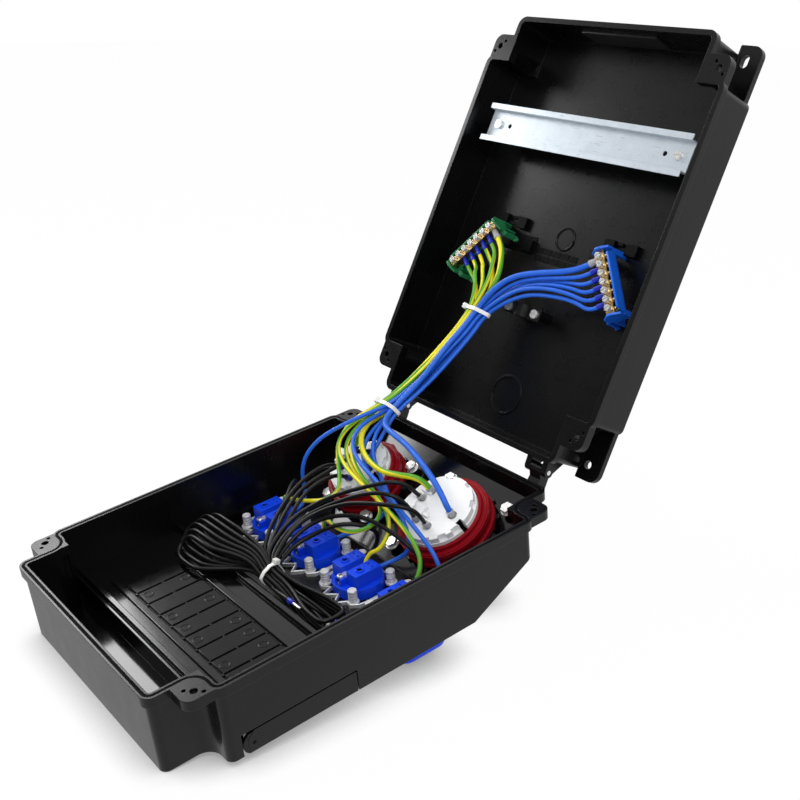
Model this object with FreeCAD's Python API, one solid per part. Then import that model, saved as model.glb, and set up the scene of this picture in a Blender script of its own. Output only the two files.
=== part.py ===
import FreeCAD, Part
import math
import os

V = FreeCAD.Vector

# Sizes are in millimetres. The cover frame has its rim plane at z = 0, +X across, +Y towards the
# hinge and +Z out of the open cover. The rear box is drawn closed on that rim and then swung open.

# Housing
HALF_WIDTH = 131.0
HALF_LENGTH = 177.5
NOTCH_WIDTH = 23.5
NOTCH_LENGTH = 37.5
NOTCH_X = HALF_WIDTH - NOTCH_WIDTH
NOTCH_Y = HALF_LENGTH - NOTCH_LENGTH
CORNER_RADIUS = 6.0
NOTCH_RADIUS = 12.0
COVER_WALL = 3.4
COVER_DEPTH = 64.0
BOX_WALL = 2.1
BOX_DEPTH = 43.0
RIM_GAP = 0.6
LIP_OUT = 2.5
LIP_HEIGHT = 8.0
SLOPE_RUN = 100.5
SLOPE_START = HALF_LENGTH - SLOPE_RUN
SLOPE_DEG = 25.9
SEAL_WIDTH = 2.2
SEAL_DEPTH = 2.5
SEAL_INSET = -0.6
SEAL_CLEARANCE = 0.1

# Corner tabs and wall lugs
TAB_REACH = 22.0
TAB_END = NOTCH_Y + TAB_REACH
TAB_THICKNESS = 8.0
TAB_RADIUS = 8.0
TAB_HOLE = (HALF_WIDTH - 8.5, NOTCH_Y + TAB_REACH / 2)
TAB_HOLE_RADIUS = 2.8
PILOT_RADIUS = 1.5
PILOT_PITCH = 6.8
LUG_OUT_X = HALF_WIDTH - 3.0
LUG_OUT_Y = HALF_LENGTH + 6.5
LUG_THICKNESS = 5.0
LUG_RADIUS = 9.0
LUG_HOLE = (NOTCH_X + 6.5, NOTCH_Y + 31.0)
LUG_HOLE_RADIUS = 3.5
LUG_SLOT_LENGTH = 11.0

# Hinge between cover and rear box
HINGE_STAND = 9.9
HINGE_Y = HALF_LENGTH + HINGE_STAND
HINGE_Z = 9.4
HINGE_X = NOTCH_X - 16.5
OPEN_DEG = 122.66
KNUCKLE_RADIUS = 4.6
ARM_WIDTH = 12.0
EAR_WIDTH = 5.4
EAR_GAP = 0.3
PIN_RADIUS = 2.0
RUNNING_CLEARANCE = 0.05

# Breaker recess, flap and blanking strip
RECESS_START = -HALF_LENGTH + 48.5
RECESS_LENGTH = 96.0
RECESS_END = RECESS_START + RECESS_LENGTH
RECESS_DEPTH = 18.0
RECESS_FLOOR = -COVER_DEPTH + RECESS_DEPTH
RIDGE_HEIGHT = 4.0
RIDGE_WIDTH = 4.0
APERTURE_HALF = 78.5
APERTURE_LENGTH = 46.0
APERTURE_START = RECESS_START + 22.5
APERTURE_END = APERTURE_START + APERTURE_LENGTH
BLANK_CLEARANCE = 0.25
BLANK_FLANGE = 2.0
BLANK_FLANGE_THICKNESS = 1.2
MODULES = 8
KNOCKOUT_GROOVE = 1.0
KNOCKOUT_DEPTH = 0.9
FLAP_START = RECESS_START + 4.5
FLAP_GAP = 1.0
FLAP_THICKNESS = 2.8
FLAP_SKIRT_GAP = 1.3
FLAP_AXIS_Y = RECESS_START + 9.0
FLAP_AXIS_Z = -COVER_DEPTH + 7.0
FLAP_BRACKET_X = (HALF_WIDTH - 10.0, HALF_WIDTH - 4.0)
FLAP_BRACKET_RADIUS = 3.0

# Two-pole sockets with side earth, four in a row
SOCKET_COUNT = 4
SOCKET_MARGIN = 18.0
SOCKET_PITCH = (2 * HALF_WIDTH - SOCKET_MARGIN) / SOCKET_COUNT
SOCKET_Y = SLOPE_START - 36.5
SOCKET_FLANGE = 50.0
SOCKET_FLANGE_THICKNESS = 5.0
SOCKET_SEAL = 1.0
SOCKET_CUP_RADIUS = 21.5
SOCKET_WELL_RADIUS = 19.5
SOCKET_WELL_DEPTH = 17.5
SOCKET_COLLAR = 2.0
SOCKET_FLOOR = 2.5
SOCKET_HOLE_CLEARANCE = 0.5
BLOCK_LENGTH = 25.0
BLOCK_WIDTH = 13.0
BLOCK_HEIGHT = 12.0
BLOCK_SPACING = 20.0
ENTRY_RADIUS = 2.6
ENTRY_DEPTH = 5.0
BRIDGE_HEIGHT = 4.0
CONTACT_PITCH = 19.0
CONTACT_BORE = 2.4
CONTACT_WALL = 0.7
POST_PITCH = 38.0
POST_RADIUS = 3.75
POST_HEIGHT = 12.5
STUD_RADIUS = 2.0
STUD_CLEARANCE = 0.2
FRAME_THICKNESS = 1.5
LID_HEIGHT = 11.5
LID_GAP = 0.6
LID_WALL = 2.5
LID_AXIS_OUT = 3.5
LID_KNUCKLE_RADIUS = 3.0
LID_PIN_RADIUS = 1.5
LID_ARM = 12.0
LID_EAR = 5.0

# Five-pole sockets on the sloping panel, set out along the slope from its lower edge
CEE_ALONG = 53.0
CEE_SEAL = 1.0
CEE_FLANGE_THICKNESS = 5.0
CEE_SHROUD_WALL = 5.0
CEE_PANEL_CLEARANCE = 1.0
CEE_RIM = 2.5
CEE_LID_GAP = 0.6
CEE_LID_WALL = 3.0
CEE_LID_SKIRT = 4.0
CEE_LID_PLAY = 1.2
CEE_LID_FILLET = 2.0
CEE_LID_DEPTH = 9.5
CEE_POLES = ("earth", "phase_1", "neutral", "phase_2", "phase_3")
CEE_PIN_DEG = (147.0, 75.0, 3.0, -69.0, -141.0)
CEE_TERMINAL_DEG = {"cee32": (147.0, 176.0, 3.0, -69.0, -112.0), "cee16": CEE_PIN_DEG}
CEE_SIZES = {
    "cee32": dict(x=HALF_WIDTH - 79.0, red=38.0, white=33.0, core=24.0, flange=(86.0, 92.0), bolts=(71.0, 75.0),
                  inside=22.0, rear=35.0, reach=34.0, contact=3.6, ring=15.0, terminal=19.0,
                  bridge=((-26.0, -5.0), (-13.0, -4.0))),
    "cee16": dict(x=74.0 - HALF_WIDTH, red=33.0, white=28.5, core=20.0, flange=(76.0, 84.0), bolts=(56.0, 60.0),
                  inside=21.0, rear=33.0, reach=36.0, contact=3.0, ring=12.5, terminal=16.0,
                  bridge=((-24.0, -6.0), (-3.5, 3.5))),
}
CEE_BRIDGE_HEIGHT = 6.5
CEE_CAP_STEP = 5.5
CEE_CAP_LEDGE = 0.8
CEE_CAP_NOTCH = (7.0, 2.6)
CEE_CAP_NOTCH_DEG = (-62.0, -36.0, -14.0, 34.0, 72.0, 112.0, 205.0, 238.0)
CEE_WINDOW = 5.0
CEE_WINDOW_DEG = -2.0
CEE_ENTRY_RADIUS = 4.0
CEE_BOLT_RADIUS = 2.5
CEE_BOLT_STAND = 5.0
CEE_HEAD_FLATS = 9.0
CEE_HEAD_HEIGHT = 4.0
CEE_EAR_X = (8.4, 15.0)

# Rear box fittings
RAIL_Y = (APERTURE_START + APERTURE_END) / 2
RAIL_FRONT = 10.0
RAIL_END_GAP = 15.0
RAIL_LENGTH = 2 * (HALF_WIDTH - RAIL_END_GAP)
RAIL_WIDTH = 35.0
RAIL_CHANNEL = 27.0
RAIL_DEPTH = 7.5
RAIL_SHEET = 1.0
RAIL_SCREW_X = RAIL_LENGTH / 2 - 12.0
RAIL_POST_RADIUS = 6.0
BAR_CENTRE = (HALF_WIDTH - 50.0, 28.0)
BAR_DEG = 37.0
BAR_PITCH = 8.0
BAR_WAYS = 7
BAR_LENGTH = 58.0
BAR_WIDTH = 7.5
BAR_HEIGHT = 8.0
BAR_FRONT = 15.0
BAR_SCREW_RADIUS = 2.7
BAR_SCREW_HEIGHT = 4.2
WIRE_HOLE_RADIUS = 2.3
HOLDER_END = 4.0
HOLDER_WIDTH = 13.0
HOLDER_BACK = 2.5
HOLDER_FLOOR = 3.0
FOOT_WIDTH = 9.0
CLAMP_Y = 70.5
CLAMP_HALF = 16.0
CLAMP_SEAT = 24.0
CLAMP_WIDTH = 11.0
CLAMP_SHEET = 2.0
CLAMP_ARCH_RADIUS = 9.0
CLAMP_BOSS_RADIUS = 5.5
KNOCKOUT_CENTRE_Y = HALF_LENGTH - 32.5
KNOCKOUT_RADIUS = 18.0
SCREW_RADIUS = 2.0
SCREW_HEAD_RADIUS = 3.9
SCREW_HEAD_HEIGHT = 2.4

# Wiring
WIRE_RADIUS = 1.8
HEAVY_RADIUS = 2.5
FERRULE_LENGTH = 9.0
FERRULE_GAP = 0.3
ARC_SHARE = 0.45
TIE_WIDTH = 4.6
TIE_SHEET = 1.3
TIE_HALF = (11.8, 7.9)
TIE_OFFSET = (1.85, 0.3)

# Slots across the tied bundle, across then towards the front: at the upper tie, at three stations of
# the free span and at the lower tie. Two neutral wires change places on the way.
PE_SLOTS = ((-2.6, 0.0), (-2.1, 4.7), (-2.1, -4.7), (-7.1, 0.0), (-6.2, 4.2), (-6.2, -4.2))
N_SLOTS = ((2.5, 4.6), (2.0, 0.0), (2.0, -4.2), (6.4, -2.4), (6.9, 2.3), (10.8, -0.2))
N_CHANGES = {0: ((3.2, 6.6), (4.2, 8.4), (8.0, 6.6), (7.2, 2.5)),
             4: ((6.1, 2.7), (5.0, 3.3), (3.2, 3.6), (2.1, 4.3))}
UPPER_TIE = (-39.0, 85.0, 10.0)
SPAN_STATIONS = (((-41.5, 229.0, 81.0), (-0.77, 0.63)), ((-45.0, 213.0, 68.0), (-0.70, 0.71)),
                 ((-52.0, 183.0, 45.0), (-0.62, 0.78)), ((-60.0, 151.0, 27.0), (-0.52, 0.85)))

# Hand-set route points of the wires between a terminal bar and the upper tie, in the closed box
PE_UPPER = (
    ((-38, 33, 14), (-31, 50, 11.5), (-34, 68, 10.5)),
    ((-44, 37, 11), (-37, 53, 7), (-37, 69, 5.6)),
    ((-49, 42, 18), (-40.5, 56, 16.5), (-39, 70, 15.2)),
    ((-55, 47, 13), (-46, 59, 11), (-44, 72, 10.2)),
    ((-60.5, 52, 10.5), (-51, 62, 7.2), (-46.5, 73, 6)),
    ((-64.5, 58, 17.2), (-55.5, 66, 15.6), (-49.5, 75, 14.6)),
)
N_UPPER = (
    ((36, 30, 12.5), (10, 38, 8), (-11, 47, 6), (-26, 63, 5)),
    ((39, 35.5, 14), (15, 42, 11.5), (-7, 51, 10.2), (-23, 66, 9.8)),
    ((44, 41, 18), (20, 46.5, 16.3), (-3, 54, 15), (-20, 68, 14.3)),
    ((49, 46.5, 15.5), (25, 50.5, 13.5), (2, 57, 12.4), (-15, 69, 12)),
    ((53.5, 52.5, 11.3), (30, 55.5, 8.6), (7, 61, 7.6), (-11, 71.5, 7.4)),
    ((58.5, 58, 15.5), (35, 60.5, 12.8), (12, 65, 11), (-7, 74.5, 10.4)),
)
# Hand-set route points between the lower tie and a socket, in the cover; the last point of each wire
# is worked out from the terminal it ends in, named here by socket and pole
PE_LOWER = (
    ((-61, 121, 18), (-40, 104, 9.5), (-8, 98, 6), (14, 103.5, 8), (24, 109, 8.5), (31.5, 113.5, 5.5),
     (35.8, 116.5, -1)),
    ((-72, 122, 22), (-69, 99, 12), (-42, 84, 5.5), (6, 77, 1), (50, 71, -4), (76, 67, -11),
     (89, 63, -24), (91.5, 52, -36.5)),
    ((-66, 124, 15), (-56, 103, 10), (-27, 88, 5), (10, 81.5, -3), (31, 76, -8), (44, 67, -16),
     (43, 57, -29), (30.5, 52, -36.5)),
    ((-70, 124, 18), (-63, 102, 8), (-38, 90, 0), (-4, 86, -6), (16, 80, -9), (28, 70, -12),
     (28, 56, -16), (14, 48, -22), (-3, 46.5, -24), (-16, 48.5, -24), (-26.5, 51, -27.5), (-30.5, 51.2, -37.3)),
    ((-77, 124, 21), (-75, 104, 8), (-57, 90, 0), (-39, 79, -5), (-27, 68, -9), (-29, 55, -12.5),
     (-43, 48, -16), (-60, 47.5, -22), (-76, 47, -27), (-87, 50, -30), (-91.5, 51, -39)),
    ((-69.5, 135, 14.5), (-70.2, 125, 8.5), (-70.4, 119.5, 1)),
)
PE_ENDS = tuple((place, "earth") for place in ("cee32", "socket_4", "socket_3", "socket_2", "socket_1", "cee16"))
N_LOWER = (
    ((-43, 132, 25), (-28, 128, 24), (0, 125, 22), (33, 117, 16), (52, 111.5, 11), (63, 108.5, 5),
     (69.8, 107.6, -2.5)),
    ((-58, 121, 25), (-50, 101, 17), (-26, 90, 12), (8, 85, 7), (40, 79, 1), (66, 76, -7),
     (85, 75, -16), (97, 74, -28), (101, 71, -40.5), (101.5, 61, -46)),
    ((-56, 125, 14), (-44, 106, 4), (-18, 96, -4), (14, 90, -8), (40, 83, -11), (56, 76, -16.5),
     (60, 73.5, -27), (54, 72.5, -36), (46, 69.3, -43), (40.7, 60.6, -46)),
    ((-49, 127, 17), (-36, 112, 6), (-14, 103, -3), (7, 96, -11), (17, 86, -16), (16, 75, -21.5),
     (7, 70, -30), (-4, 68.5, -38), (-14, 66, -43.5), (-20, 59.5, -46)),
    ((-58, 126, 32), (-68, 108, 25), (-82, 92, 14), (-90, 80, 0), (-92, 74, -14), (-90, 72, -27),
     (-85.5, 70, -38.5), (-81.8, 61, -45.5)),
    ((-45.5, 134.5, 15.5), (-43, 122, 6.5), (-41, 111.8, -1.5)),
)
N_ENDS = tuple((place, "neutral") for place, _ in PE_ENDS)
# Phase leads run from a socket terminal to the tied hank
PHASE_STARTS = (("cee32", "phase_3"), ("cee32", "phase_2"), ("cee32", "phase_1"), ("socket_4", "phase"),
                ("socket_3", "phase"), ("socket_2", "phase"), ("socket_1", "phase"), ("cee16", "phase_1"),
                ("cee16", "phase_2"), ("cee16", "phase_3"))
PHASE_ROUTES = (
    ((44.9, 90.2, -10), (45, 86.2, 0), (40.5, 80, 8.5), (29, 73, 11), (14, 65.5, 7), (-4, 54, -2), (-22, 37, -13),
     (-28, 18, -22), (-23, 1, -29), (-16, -11, -33)),
    ((58.8, 90, -9.9), (58, 84.5, 0.5), (53.5, 76, 6.5), (43, 68.5, 7.5), (24, 62, 4), (4, 54, -1),
     (-13, 39, -9), (-21, 21, -17), (-18.5, 4, -25.5), (-11.5, -10, -32)),
    ((32.8, 105, -2), (30.5, 99, 7), (23.5, 90, 12), (9, 76, 8), (-9, 60, 1),
     (-24, 42, -8), (-33, 22, -18), (-29, 3, -27), (-21, -10, -32)),
    ((81.5, 61, -45.5), (81, 70, -39.5), (77, 71, -28), (66, 67, -18), (50, 63.5, -12), (34, 60.5, -8.5),
     (14, 55, -8), (-7, 42, -13), (-17, 26, -20), (-14, 7, -28.5), (-8.5, -10, -36)),
    ((20.8, 61, -45.2), (21.5, 69, -38.5), (22, 70, -28), (18.7, 62.5, -20.5), (9.3, 51, -16.5),
     (0, 40, -18.5), (-9, 28, -25), (-11, 14, -30), (-3, 1.5, -34.5), (7, -10, -38.5)),
    ((-40.8, 61, -45.8), (-42, 69.8, -39), (-43, 71, -28.5), (-44, 63.5, -20.5), (-44.5, 53, -20.5),
     (-43, 38, -26), (-36, 21, -32), (-26, 5, -36), (-14.5, -10, -39)),
    ((-101.3, 61, -45.5), (-100, 69.5, -39), (-97, 70, -27), (-89, 62, -20), (-78, 50, -20), (-66, 37, -24),
     (-54, 22, -30.5), (-41, 6.5, -36.5), (-28, -9, -39)),
    ((-52.9, 116.4, 1.9), (-54.7, 105.2, 2.2), (-58, 94, -5), (-59.5, 80, -7.5), (-60, 66, -9.5),
     (-58.5, 50, -12.5), (-53, 34, -18), (-43, 16, -25), (-33, 1, -31), (-26, -10, -34.5)),
    ((-51.3, 89.1, -11.4), (-52, 78, -8.5), (-51.5, 64, -8.5), (-48, 48, -10.5), (-42, 30, -18),
     (-32, 10, -29), (-19, -9, -35.5)),
    ((-69.4, 93.4, -9.3), (-70, 81.5, -7), (-70, 66, -9.5), (-66, 47, -14.5), (-58, 28, -21),
     (-47, 8, -28.5), (-33, -9, -34)),
)
# Hank of the phase leads: centre and half sizes of sections along it
HANK_SECTIONS = (
    ((-112, -36, -27), 17, 5), ((-98, -36, -27), 23, 8), ((-60, -27.5, -27.5), 17, 10),
    ((-26, -19, -34), 13, 10), ((-3, -18, -40), 9, 9), ((30, -16.5, -44), 11, 9),
    ((62, -16, -48), 11, 7.5), ((80, -17.5, -50), 9, 6),
)
HANK_TIE = (-3.0, -18.0, -40.0)
HANK_TIE_HALF = (9.6, 9.8)
# Loose ends of the hank: ferrule seats, each with its direction
FERRULE_SEATS = (((24, -8, -41), (1, 0.12, -0.3)), ((60, -6.5, -47), (1, 0.35, -0.2)),
                 ((80, -14, -49), (1, 0.1, -0.15)), ((80, -21, -50), (1, -0.15, -0.1)))
SPADE_RADIUS = 1.1
COLLAR_RADIUS = 2.4


def box(x, y, z):
    return Part.makeBox(x[1] - x[0], y[1] - y[0], z[1] - z[0], V(x[0], y[0], z[0]))


def rod(radius, start, end):
    start, end = V(*start), V(*end)
    return Part.makeCylinder(radius, (end - start).Length, start, end - start)


def rounded(corners, radii, z=0.0):
    """Closed wire through the corners, each rounded by its own radius."""
    bends = []
    count = len(corners)
    for i, corner in enumerate(corners):
        point = V(*corner, z)
        back = (V(*corners[i - 1], z) - point).normalize()
        ahead = (V(*corners[(i + 1) % count], z) - point).normalize()
        half = back.getAngle(ahead) / 2
        reach = radii[i] / math.tan(half)
        towards = (back + ahead).normalize()
        middle = point + towards * (radii[i] / math.sin(half) - radii[i])
        bends.append((point + back * reach, middle, point + ahead * reach))
    edges = []
    for i, (start, middle, end) in enumerate(bends):
        edges.append(Part.Arc(start, middle, end).toShape())
        following = bends[(i + 1) % count][0]
        if (following - end).Length > 1e-6:
            edges.append(Part.makeLine(end, following))
    return Part.Wire(edges)


def slab(wire, bottom, top):
    face = Part.Face(wire)
    face.translate(V(0, 0, bottom))
    return face.extrude(V(0, 0, top - bottom))


def profile_x(points, x):
    """Prism along X of a polygon given as (y, z) points."""
    wire = Part.makePolygon([V(x[0], y, z) for y, z in points] + [V(x[0], *points[0])])
    return Part.Face(wire).extrude(V(x[1] - x[0], 0, 0))


def hexagon(flats, bottom, top):
    radius = flats / math.sqrt(3)
    points = [V(radius * math.cos(math.radians(60 * i)), radius * math.sin(math.radians(60 * i)), bottom)
              for i in range(6)]
    return Part.Face(Part.makePolygon(points + points[:1])).extrude(V(0, 0, top - bottom))


def moved(shape, x=0.0, y=0.0, z=0.0):
    copy = shape.copy()
    copy.translate(V(x, y, z))
    return copy


def mirrored(shape):
    return shape.mirror(V(0, 0, 0), V(1, 0, 0))


def both_sides(shape):
    return [shape, mirrored(shape)]


def fused(shapes):
    return shapes[0].multiFuse(shapes[1:]).removeSplitter() if len(shapes) > 1 else shapes[0]


def notched(inset):
    """Housing outline with its four notched corners, moved inwards by the inset."""
    x, y = HALF_WIDTH - inset, HALF_LENGTH - inset
    nx, ny = NOTCH_X - inset, NOTCH_Y - inset
    quarter = [((nx, -y), CORNER_RADIUS - inset), ((nx, -ny), NOTCH_RADIUS + inset),
               ((x, -ny), CORNER_RADIUS - inset)]
    corners = quarter + [((px, -py), r) for (px, py), r in reversed(quarter)]
    corners += [((-px, py), r) for (px, py), r in reversed(corners)]
    return rounded([c for c, _ in corners], [r for _, r in corners])


def slope_height(y):
    return -COVER_DEPTH + (y - SLOPE_START) * math.tan(math.radians(SLOPE_DEG))


def below_slope(offset):
    """Everything outside the sloping panel, whose face is moved inwards by the offset."""
    lift = offset / math.cos(math.radians(SLOPE_DEG))
    start, end = SLOPE_START - SLOPE_RUN, HALF_LENGTH + SLOPE_RUN
    deep = slope_height(start) - COVER_DEPTH
    points = [(start, slope_height(start) + lift), (end, slope_height(end) + lift), (end, deep), (start, deep)]
    return profile_x(points, (-2 * HALF_WIDTH, 2 * HALF_WIDTH))


def four_corners(shape):
    half = both_sides(shape)
    return half + [s.mirror(V(0, 0, 0), V(0, 1, 0)) for s in half]


def corner_plate(end_x, end_y, radius, z):
    """Plate that fills a notched corner out to the given edges."""
    inner = (NOTCH_X - 2, NOTCH_Y - 2)
    corners = [inner, (end_x, inner[1]), (end_x, end_y), (inner[0], end_y)]
    return slab(rounded(corners, [0.5, 1.0, radius, 1.0]), *z)


def tab(z):
    plate = corner_plate(HALF_WIDTH, TAB_END, TAB_RADIUS, z)
    x, y = TAB_HOLE
    step = PILOT_PITCH / math.sqrt(2)
    cutters = [rod(TAB_HOLE_RADIUS, (x, y, z[0] - 1), (x, y, z[1] + 1))]
    for sign in (-1, 1):
        at = (x + sign * step, y - sign * step)
        cutters.append(rod(PILOT_RADIUS, (*at, z[0] - 1), (*at, z[1] + 1)))
    return plate, cutters


def housing(depth_range, lip_range, inner_range, wall):
    """Notched walls with a lip round their rim, closed at the back where the inner range stops short."""
    outer = slab(notched(0), *depth_range).fuse(slab(notched(-LIP_OUT), *lip_range))
    return outer.cut(slab(notched(wall), *inner_range))


def socket_places():
    first = -SOCKET_PITCH * (SOCKET_COUNT - 1) / 2
    return [first + SOCKET_PITCH * i for i in range(SOCKET_COUNT)]


def socket_names():
    return [f"socket_{i}" for i in range(1, SOCKET_COUNT + 1)]


def post_places():
    half = POST_PITCH / 2
    return [(x, y) for x in (-half, half) for y in (-half, half)]


def cee_place(shape, size):
    """Puts a shape drawn on a flat panel, +Z inwards, onto the slope."""
    placed = shape.copy()
    placed.rotate(V(0, 0, 0), V(1, 0, 0), SLOPE_DEG)
    along = math.radians(SLOPE_DEG)
    placed.translate(V(size["x"], SLOPE_START + CEE_ALONG * math.cos(along),
                       -COVER_DEPTH + CEE_ALONG * math.sin(along)))
    return placed


def cee_bolts_at(size):
    half_x, half_y = size["bolts"][0] / 2, size["bolts"][1] / 2
    return [(x, y) for x in (-half_x, half_x) for y in (-half_y, half_y)]


def cover_shell():
    """Walls of the cover with lip, corner tabs and hinge arms, cut away beside the breaker recess."""
    walls = housing((-COVER_DEPTH, 0), (-LIP_HEIGHT, 0), (-COVER_DEPTH - 1, 1), COVER_WALL).cut(below_slope(0))
    plate, tab_cuts = tab((-TAB_THICKNESS, 0))
    shell = fused([walls] + four_corners(plate))
    cuts = [box((-2 * HALF_WIDTH, 2 * HALF_WIDTH), (RECESS_START, RECESS_END), (-COVER_DEPTH - 1, RECESS_FLOOR))]
    for cutter in tab_cuts:
        cuts += four_corners(cutter)
    cuts.append(slab(notched(SEAL_INSET), -SEAL_DEPTH, 1).cut(slab(notched(SEAL_INSET + SEAL_WIDTH), -SEAL_DEPTH, 1)))
    arm = hinge_arm()
    return fused([shell.cut(Part.makeCompound(cuts)), arm, moved(arm, -2 * HINGE_X)])


def cover_floor(start, end):
    """Stretch of the cover's floor between its walls, bent up where the panel slopes."""
    outline = notched(COVER_WALL)
    plate = slab(outline, -COVER_DEPTH, 0).cut(below_slope(0))
    room = slab(outline, -COVER_DEPTH + COVER_WALL, 1).cut(below_slope(COVER_WALL))
    return plate.cut(room).common(box((-HALF_WIDTH, HALF_WIDTH), (start, end), (-COVER_DEPTH - 1, 1)))


def breaker_deck():
    """Near end of the floor and the raised deck over the breaker recess, with its aperture and flap brackets."""
    top = RECESS_FLOOR + COVER_WALL
    width = (-HALF_WIDTH + COVER_WALL, HALF_WIDTH - COVER_WALL)
    hat = box(width, (RECESS_START - COVER_WALL, RECESS_END + COVER_WALL), (-COVER_DEPTH, top))
    hat = hat.cut(box(width, (RECESS_START, RECESS_END), (-COVER_DEPTH, RECESS_FLOOR)))
    parts = [cover_floor(-HALF_LENGTH, RECESS_START - COVER_WALL), hat]
    for y in (RECESS_START, RECESS_END - RIDGE_WIDTH):
        parts.append(box(width, (y, y + RIDGE_WIDTH), (top - 1, top + RIDGE_HEIGHT)))
    aperture = box((-APERTURE_HALF, APERTURE_HALF), (APERTURE_START, APERTURE_END), (RECESS_FLOOR - 1, top + 1))
    return fused([fused(parts).cut(aperture)] + both_sides(flap_bracket()))


def socket_floor():
    """Flat floor that carries the row of two-pole sockets."""
    z = (-COVER_DEPTH - 1, -COVER_DEPTH + COVER_WALL + 1)
    cuts = []
    for x in socket_places():
        cuts.append(rod(SOCKET_CUP_RADIUS + SOCKET_HOLE_CLEARANCE, (x, SOCKET_Y, z[0]), (x, SOCKET_Y, z[1])))
        cuts += [moved(hole, x, SOCKET_Y) for hole in stud_holes(z)]
    return cover_floor(RECESS_END + COVER_WALL, SLOPE_START).cut(Part.makeCompound(cuts))


def slope_panel():
    """Sloping panel that carries the two five-pole sockets."""
    z = (-COVER_WALL, 2 * COVER_WALL)
    cuts = []
    for size in CEE_SIZES.values():
        cuts.append(cee_place(rod(size["red"] + CEE_PANEL_CLEARANCE, (0, 0, z[0]), (0, 0, z[1])), size))
        for x, y in cee_bolts_at(size):
            cuts.append(cee_place(rod(CEE_BOLT_RADIUS + STUD_CLEARANCE, (x, y, z[0]), (x, y, z[1])), size))
    return cover_floor(SLOPE_START, HALF_LENGTH).cut(Part.makeCompound(cuts))


def hinge_bore(x):
    return rod(PIN_RADIUS + RUNNING_CLEARANCE, (x[0] - 1, HINGE_Y, HINGE_Z), (x[1] + 1, HINGE_Y, HINGE_Z))


def hinge_arm():
    x = (HINGE_X - ARM_WIDTH / 2, HINGE_X + ARM_WIDTH / 2)
    lip = HALF_LENGTH + LIP_OUT
    front, back = HINGE_Y - KNUCKLE_RADIUS, HINGE_Y + KNUCKLE_RADIUS
    points = [(lip - 1, -LIP_HEIGHT), (lip - 1, -1), (front, 3), (front, HINGE_Z), (back, HINGE_Z),
              (back, 0), (HINGE_Y, -LIP_HEIGHT)]
    knuckle = rod(KNUCKLE_RADIUS, (x[0], HINGE_Y, HINGE_Z), (x[1], HINGE_Y, HINGE_Z))
    return profile_x(points, x).fuse(knuckle).cut(hinge_bore(x))


def hinge_ears():
    inner = ARM_WIDTH / 2 + EAR_GAP
    ears = []
    for start in (HINGE_X - inner - EAR_WIDTH, HINGE_X + inner):
        x = (start, start + EAR_WIDTH)
        points = [(HALF_LENGTH - 1, LIP_HEIGHT / 2), (HALF_LENGTH - 1, HINGE_Z + 3 * KNUCKLE_RADIUS),
                  (HINGE_Y, HINGE_Z + KNUCKLE_RADIUS), (HINGE_Y, HINGE_Z - KNUCKLE_RADIUS)]
        knuckle = rod(KNUCKLE_RADIUS, (x[0], HINGE_Y, HINGE_Z), (x[1], HINGE_Y, HINGE_Z))
        ears.append(profile_x(points, x).fuse(knuckle))
    return ears


def hinge_pins():
    reach = ARM_WIDTH / 2 + EAR_GAP + EAR_WIDTH
    pin = rod(PIN_RADIUS, (HINGE_X - reach, HINGE_Y, HINGE_Z), (HINGE_X + reach, HINGE_Y, HINGE_Z))
    return Part.makeCompound([pin, moved(pin, -2 * HINGE_X)])


def flap_bracket():
    x = FLAP_BRACKET_X
    y = (FLAP_AXIS_Y - FLAP_BRACKET_RADIUS, FLAP_AXIS_Y + FLAP_BRACKET_RADIUS)
    leg = box(x, y, (FLAP_AXIS_Z, RECESS_FLOOR + 1))
    end = rod(FLAP_BRACKET_RADIUS, (x[0], FLAP_AXIS_Y, FLAP_AXIS_Z), (x[1], FLAP_AXIS_Y, FLAP_AXIS_Z))
    bore = rod(LID_PIN_RADIUS + RUNNING_CLEARANCE, (x[0] - 1, FLAP_AXIS_Y, FLAP_AXIS_Z),
               (x[1] + 1, FLAP_AXIS_Y, FLAP_AXIS_Z))
    return leg.fuse(end).cut(bore)


def flap_pins():
    pin = rod(LID_PIN_RADIUS, (FLAP_BRACKET_X[0], FLAP_AXIS_Y, FLAP_AXIS_Z), (HALF_WIDTH, FLAP_AXIS_Y, FLAP_AXIS_Z))
    return Part.makeCompound(both_sides(pin))


def breaker_flap():
    end = RECESS_END - FLAP_GAP
    face = (-COVER_DEPTH, -COVER_DEPTH + FLAP_THICKNESS)
    top = RECESS_FLOOR - FLAP_SKIRT_GAP
    plate = box((-HALF_WIDTH, HALF_WIDTH), (FLAP_START, end), face)
    skirt_points = [(FLAP_START, face[0]), (end, face[0]), (end, top), (FLAP_AXIS_Y + 1, top),
                    (FLAP_START, FLAP_AXIS_Z + 4)]
    skirt = profile_x(skirt_points, (HALF_WIDTH - FLAP_THICKNESS, HALF_WIDTH))
    bore = rod(LID_PIN_RADIUS + RUNNING_CLEARANCE, (HALF_WIDTH - FLAP_THICKNESS - 1, FLAP_AXIS_Y, FLAP_AXIS_Z),
               (HALF_WIDTH + 1, FLAP_AXIS_Y, FLAP_AXIS_Z))
    lip_height = FLAP_THICKNESS + 3
    end_lip = box((-HALF_WIDTH, HALF_WIDTH), (end - FLAP_THICKNESS, end), (face[0], face[0] + lip_height))
    return fused([plate, end_lip] + both_sides(skirt.cut(bore)))


def cover_seal():
    inset = (SEAL_INSET + SEAL_CLEARANCE, SEAL_INSET + SEAL_WIDTH - SEAL_CLEARANCE)
    z = (-SEAL_DEPTH, -2 * SEAL_CLEARANCE)
    return slab(notched(inset[0]), *z).cut(slab(notched(inset[1]), *z))


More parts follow.
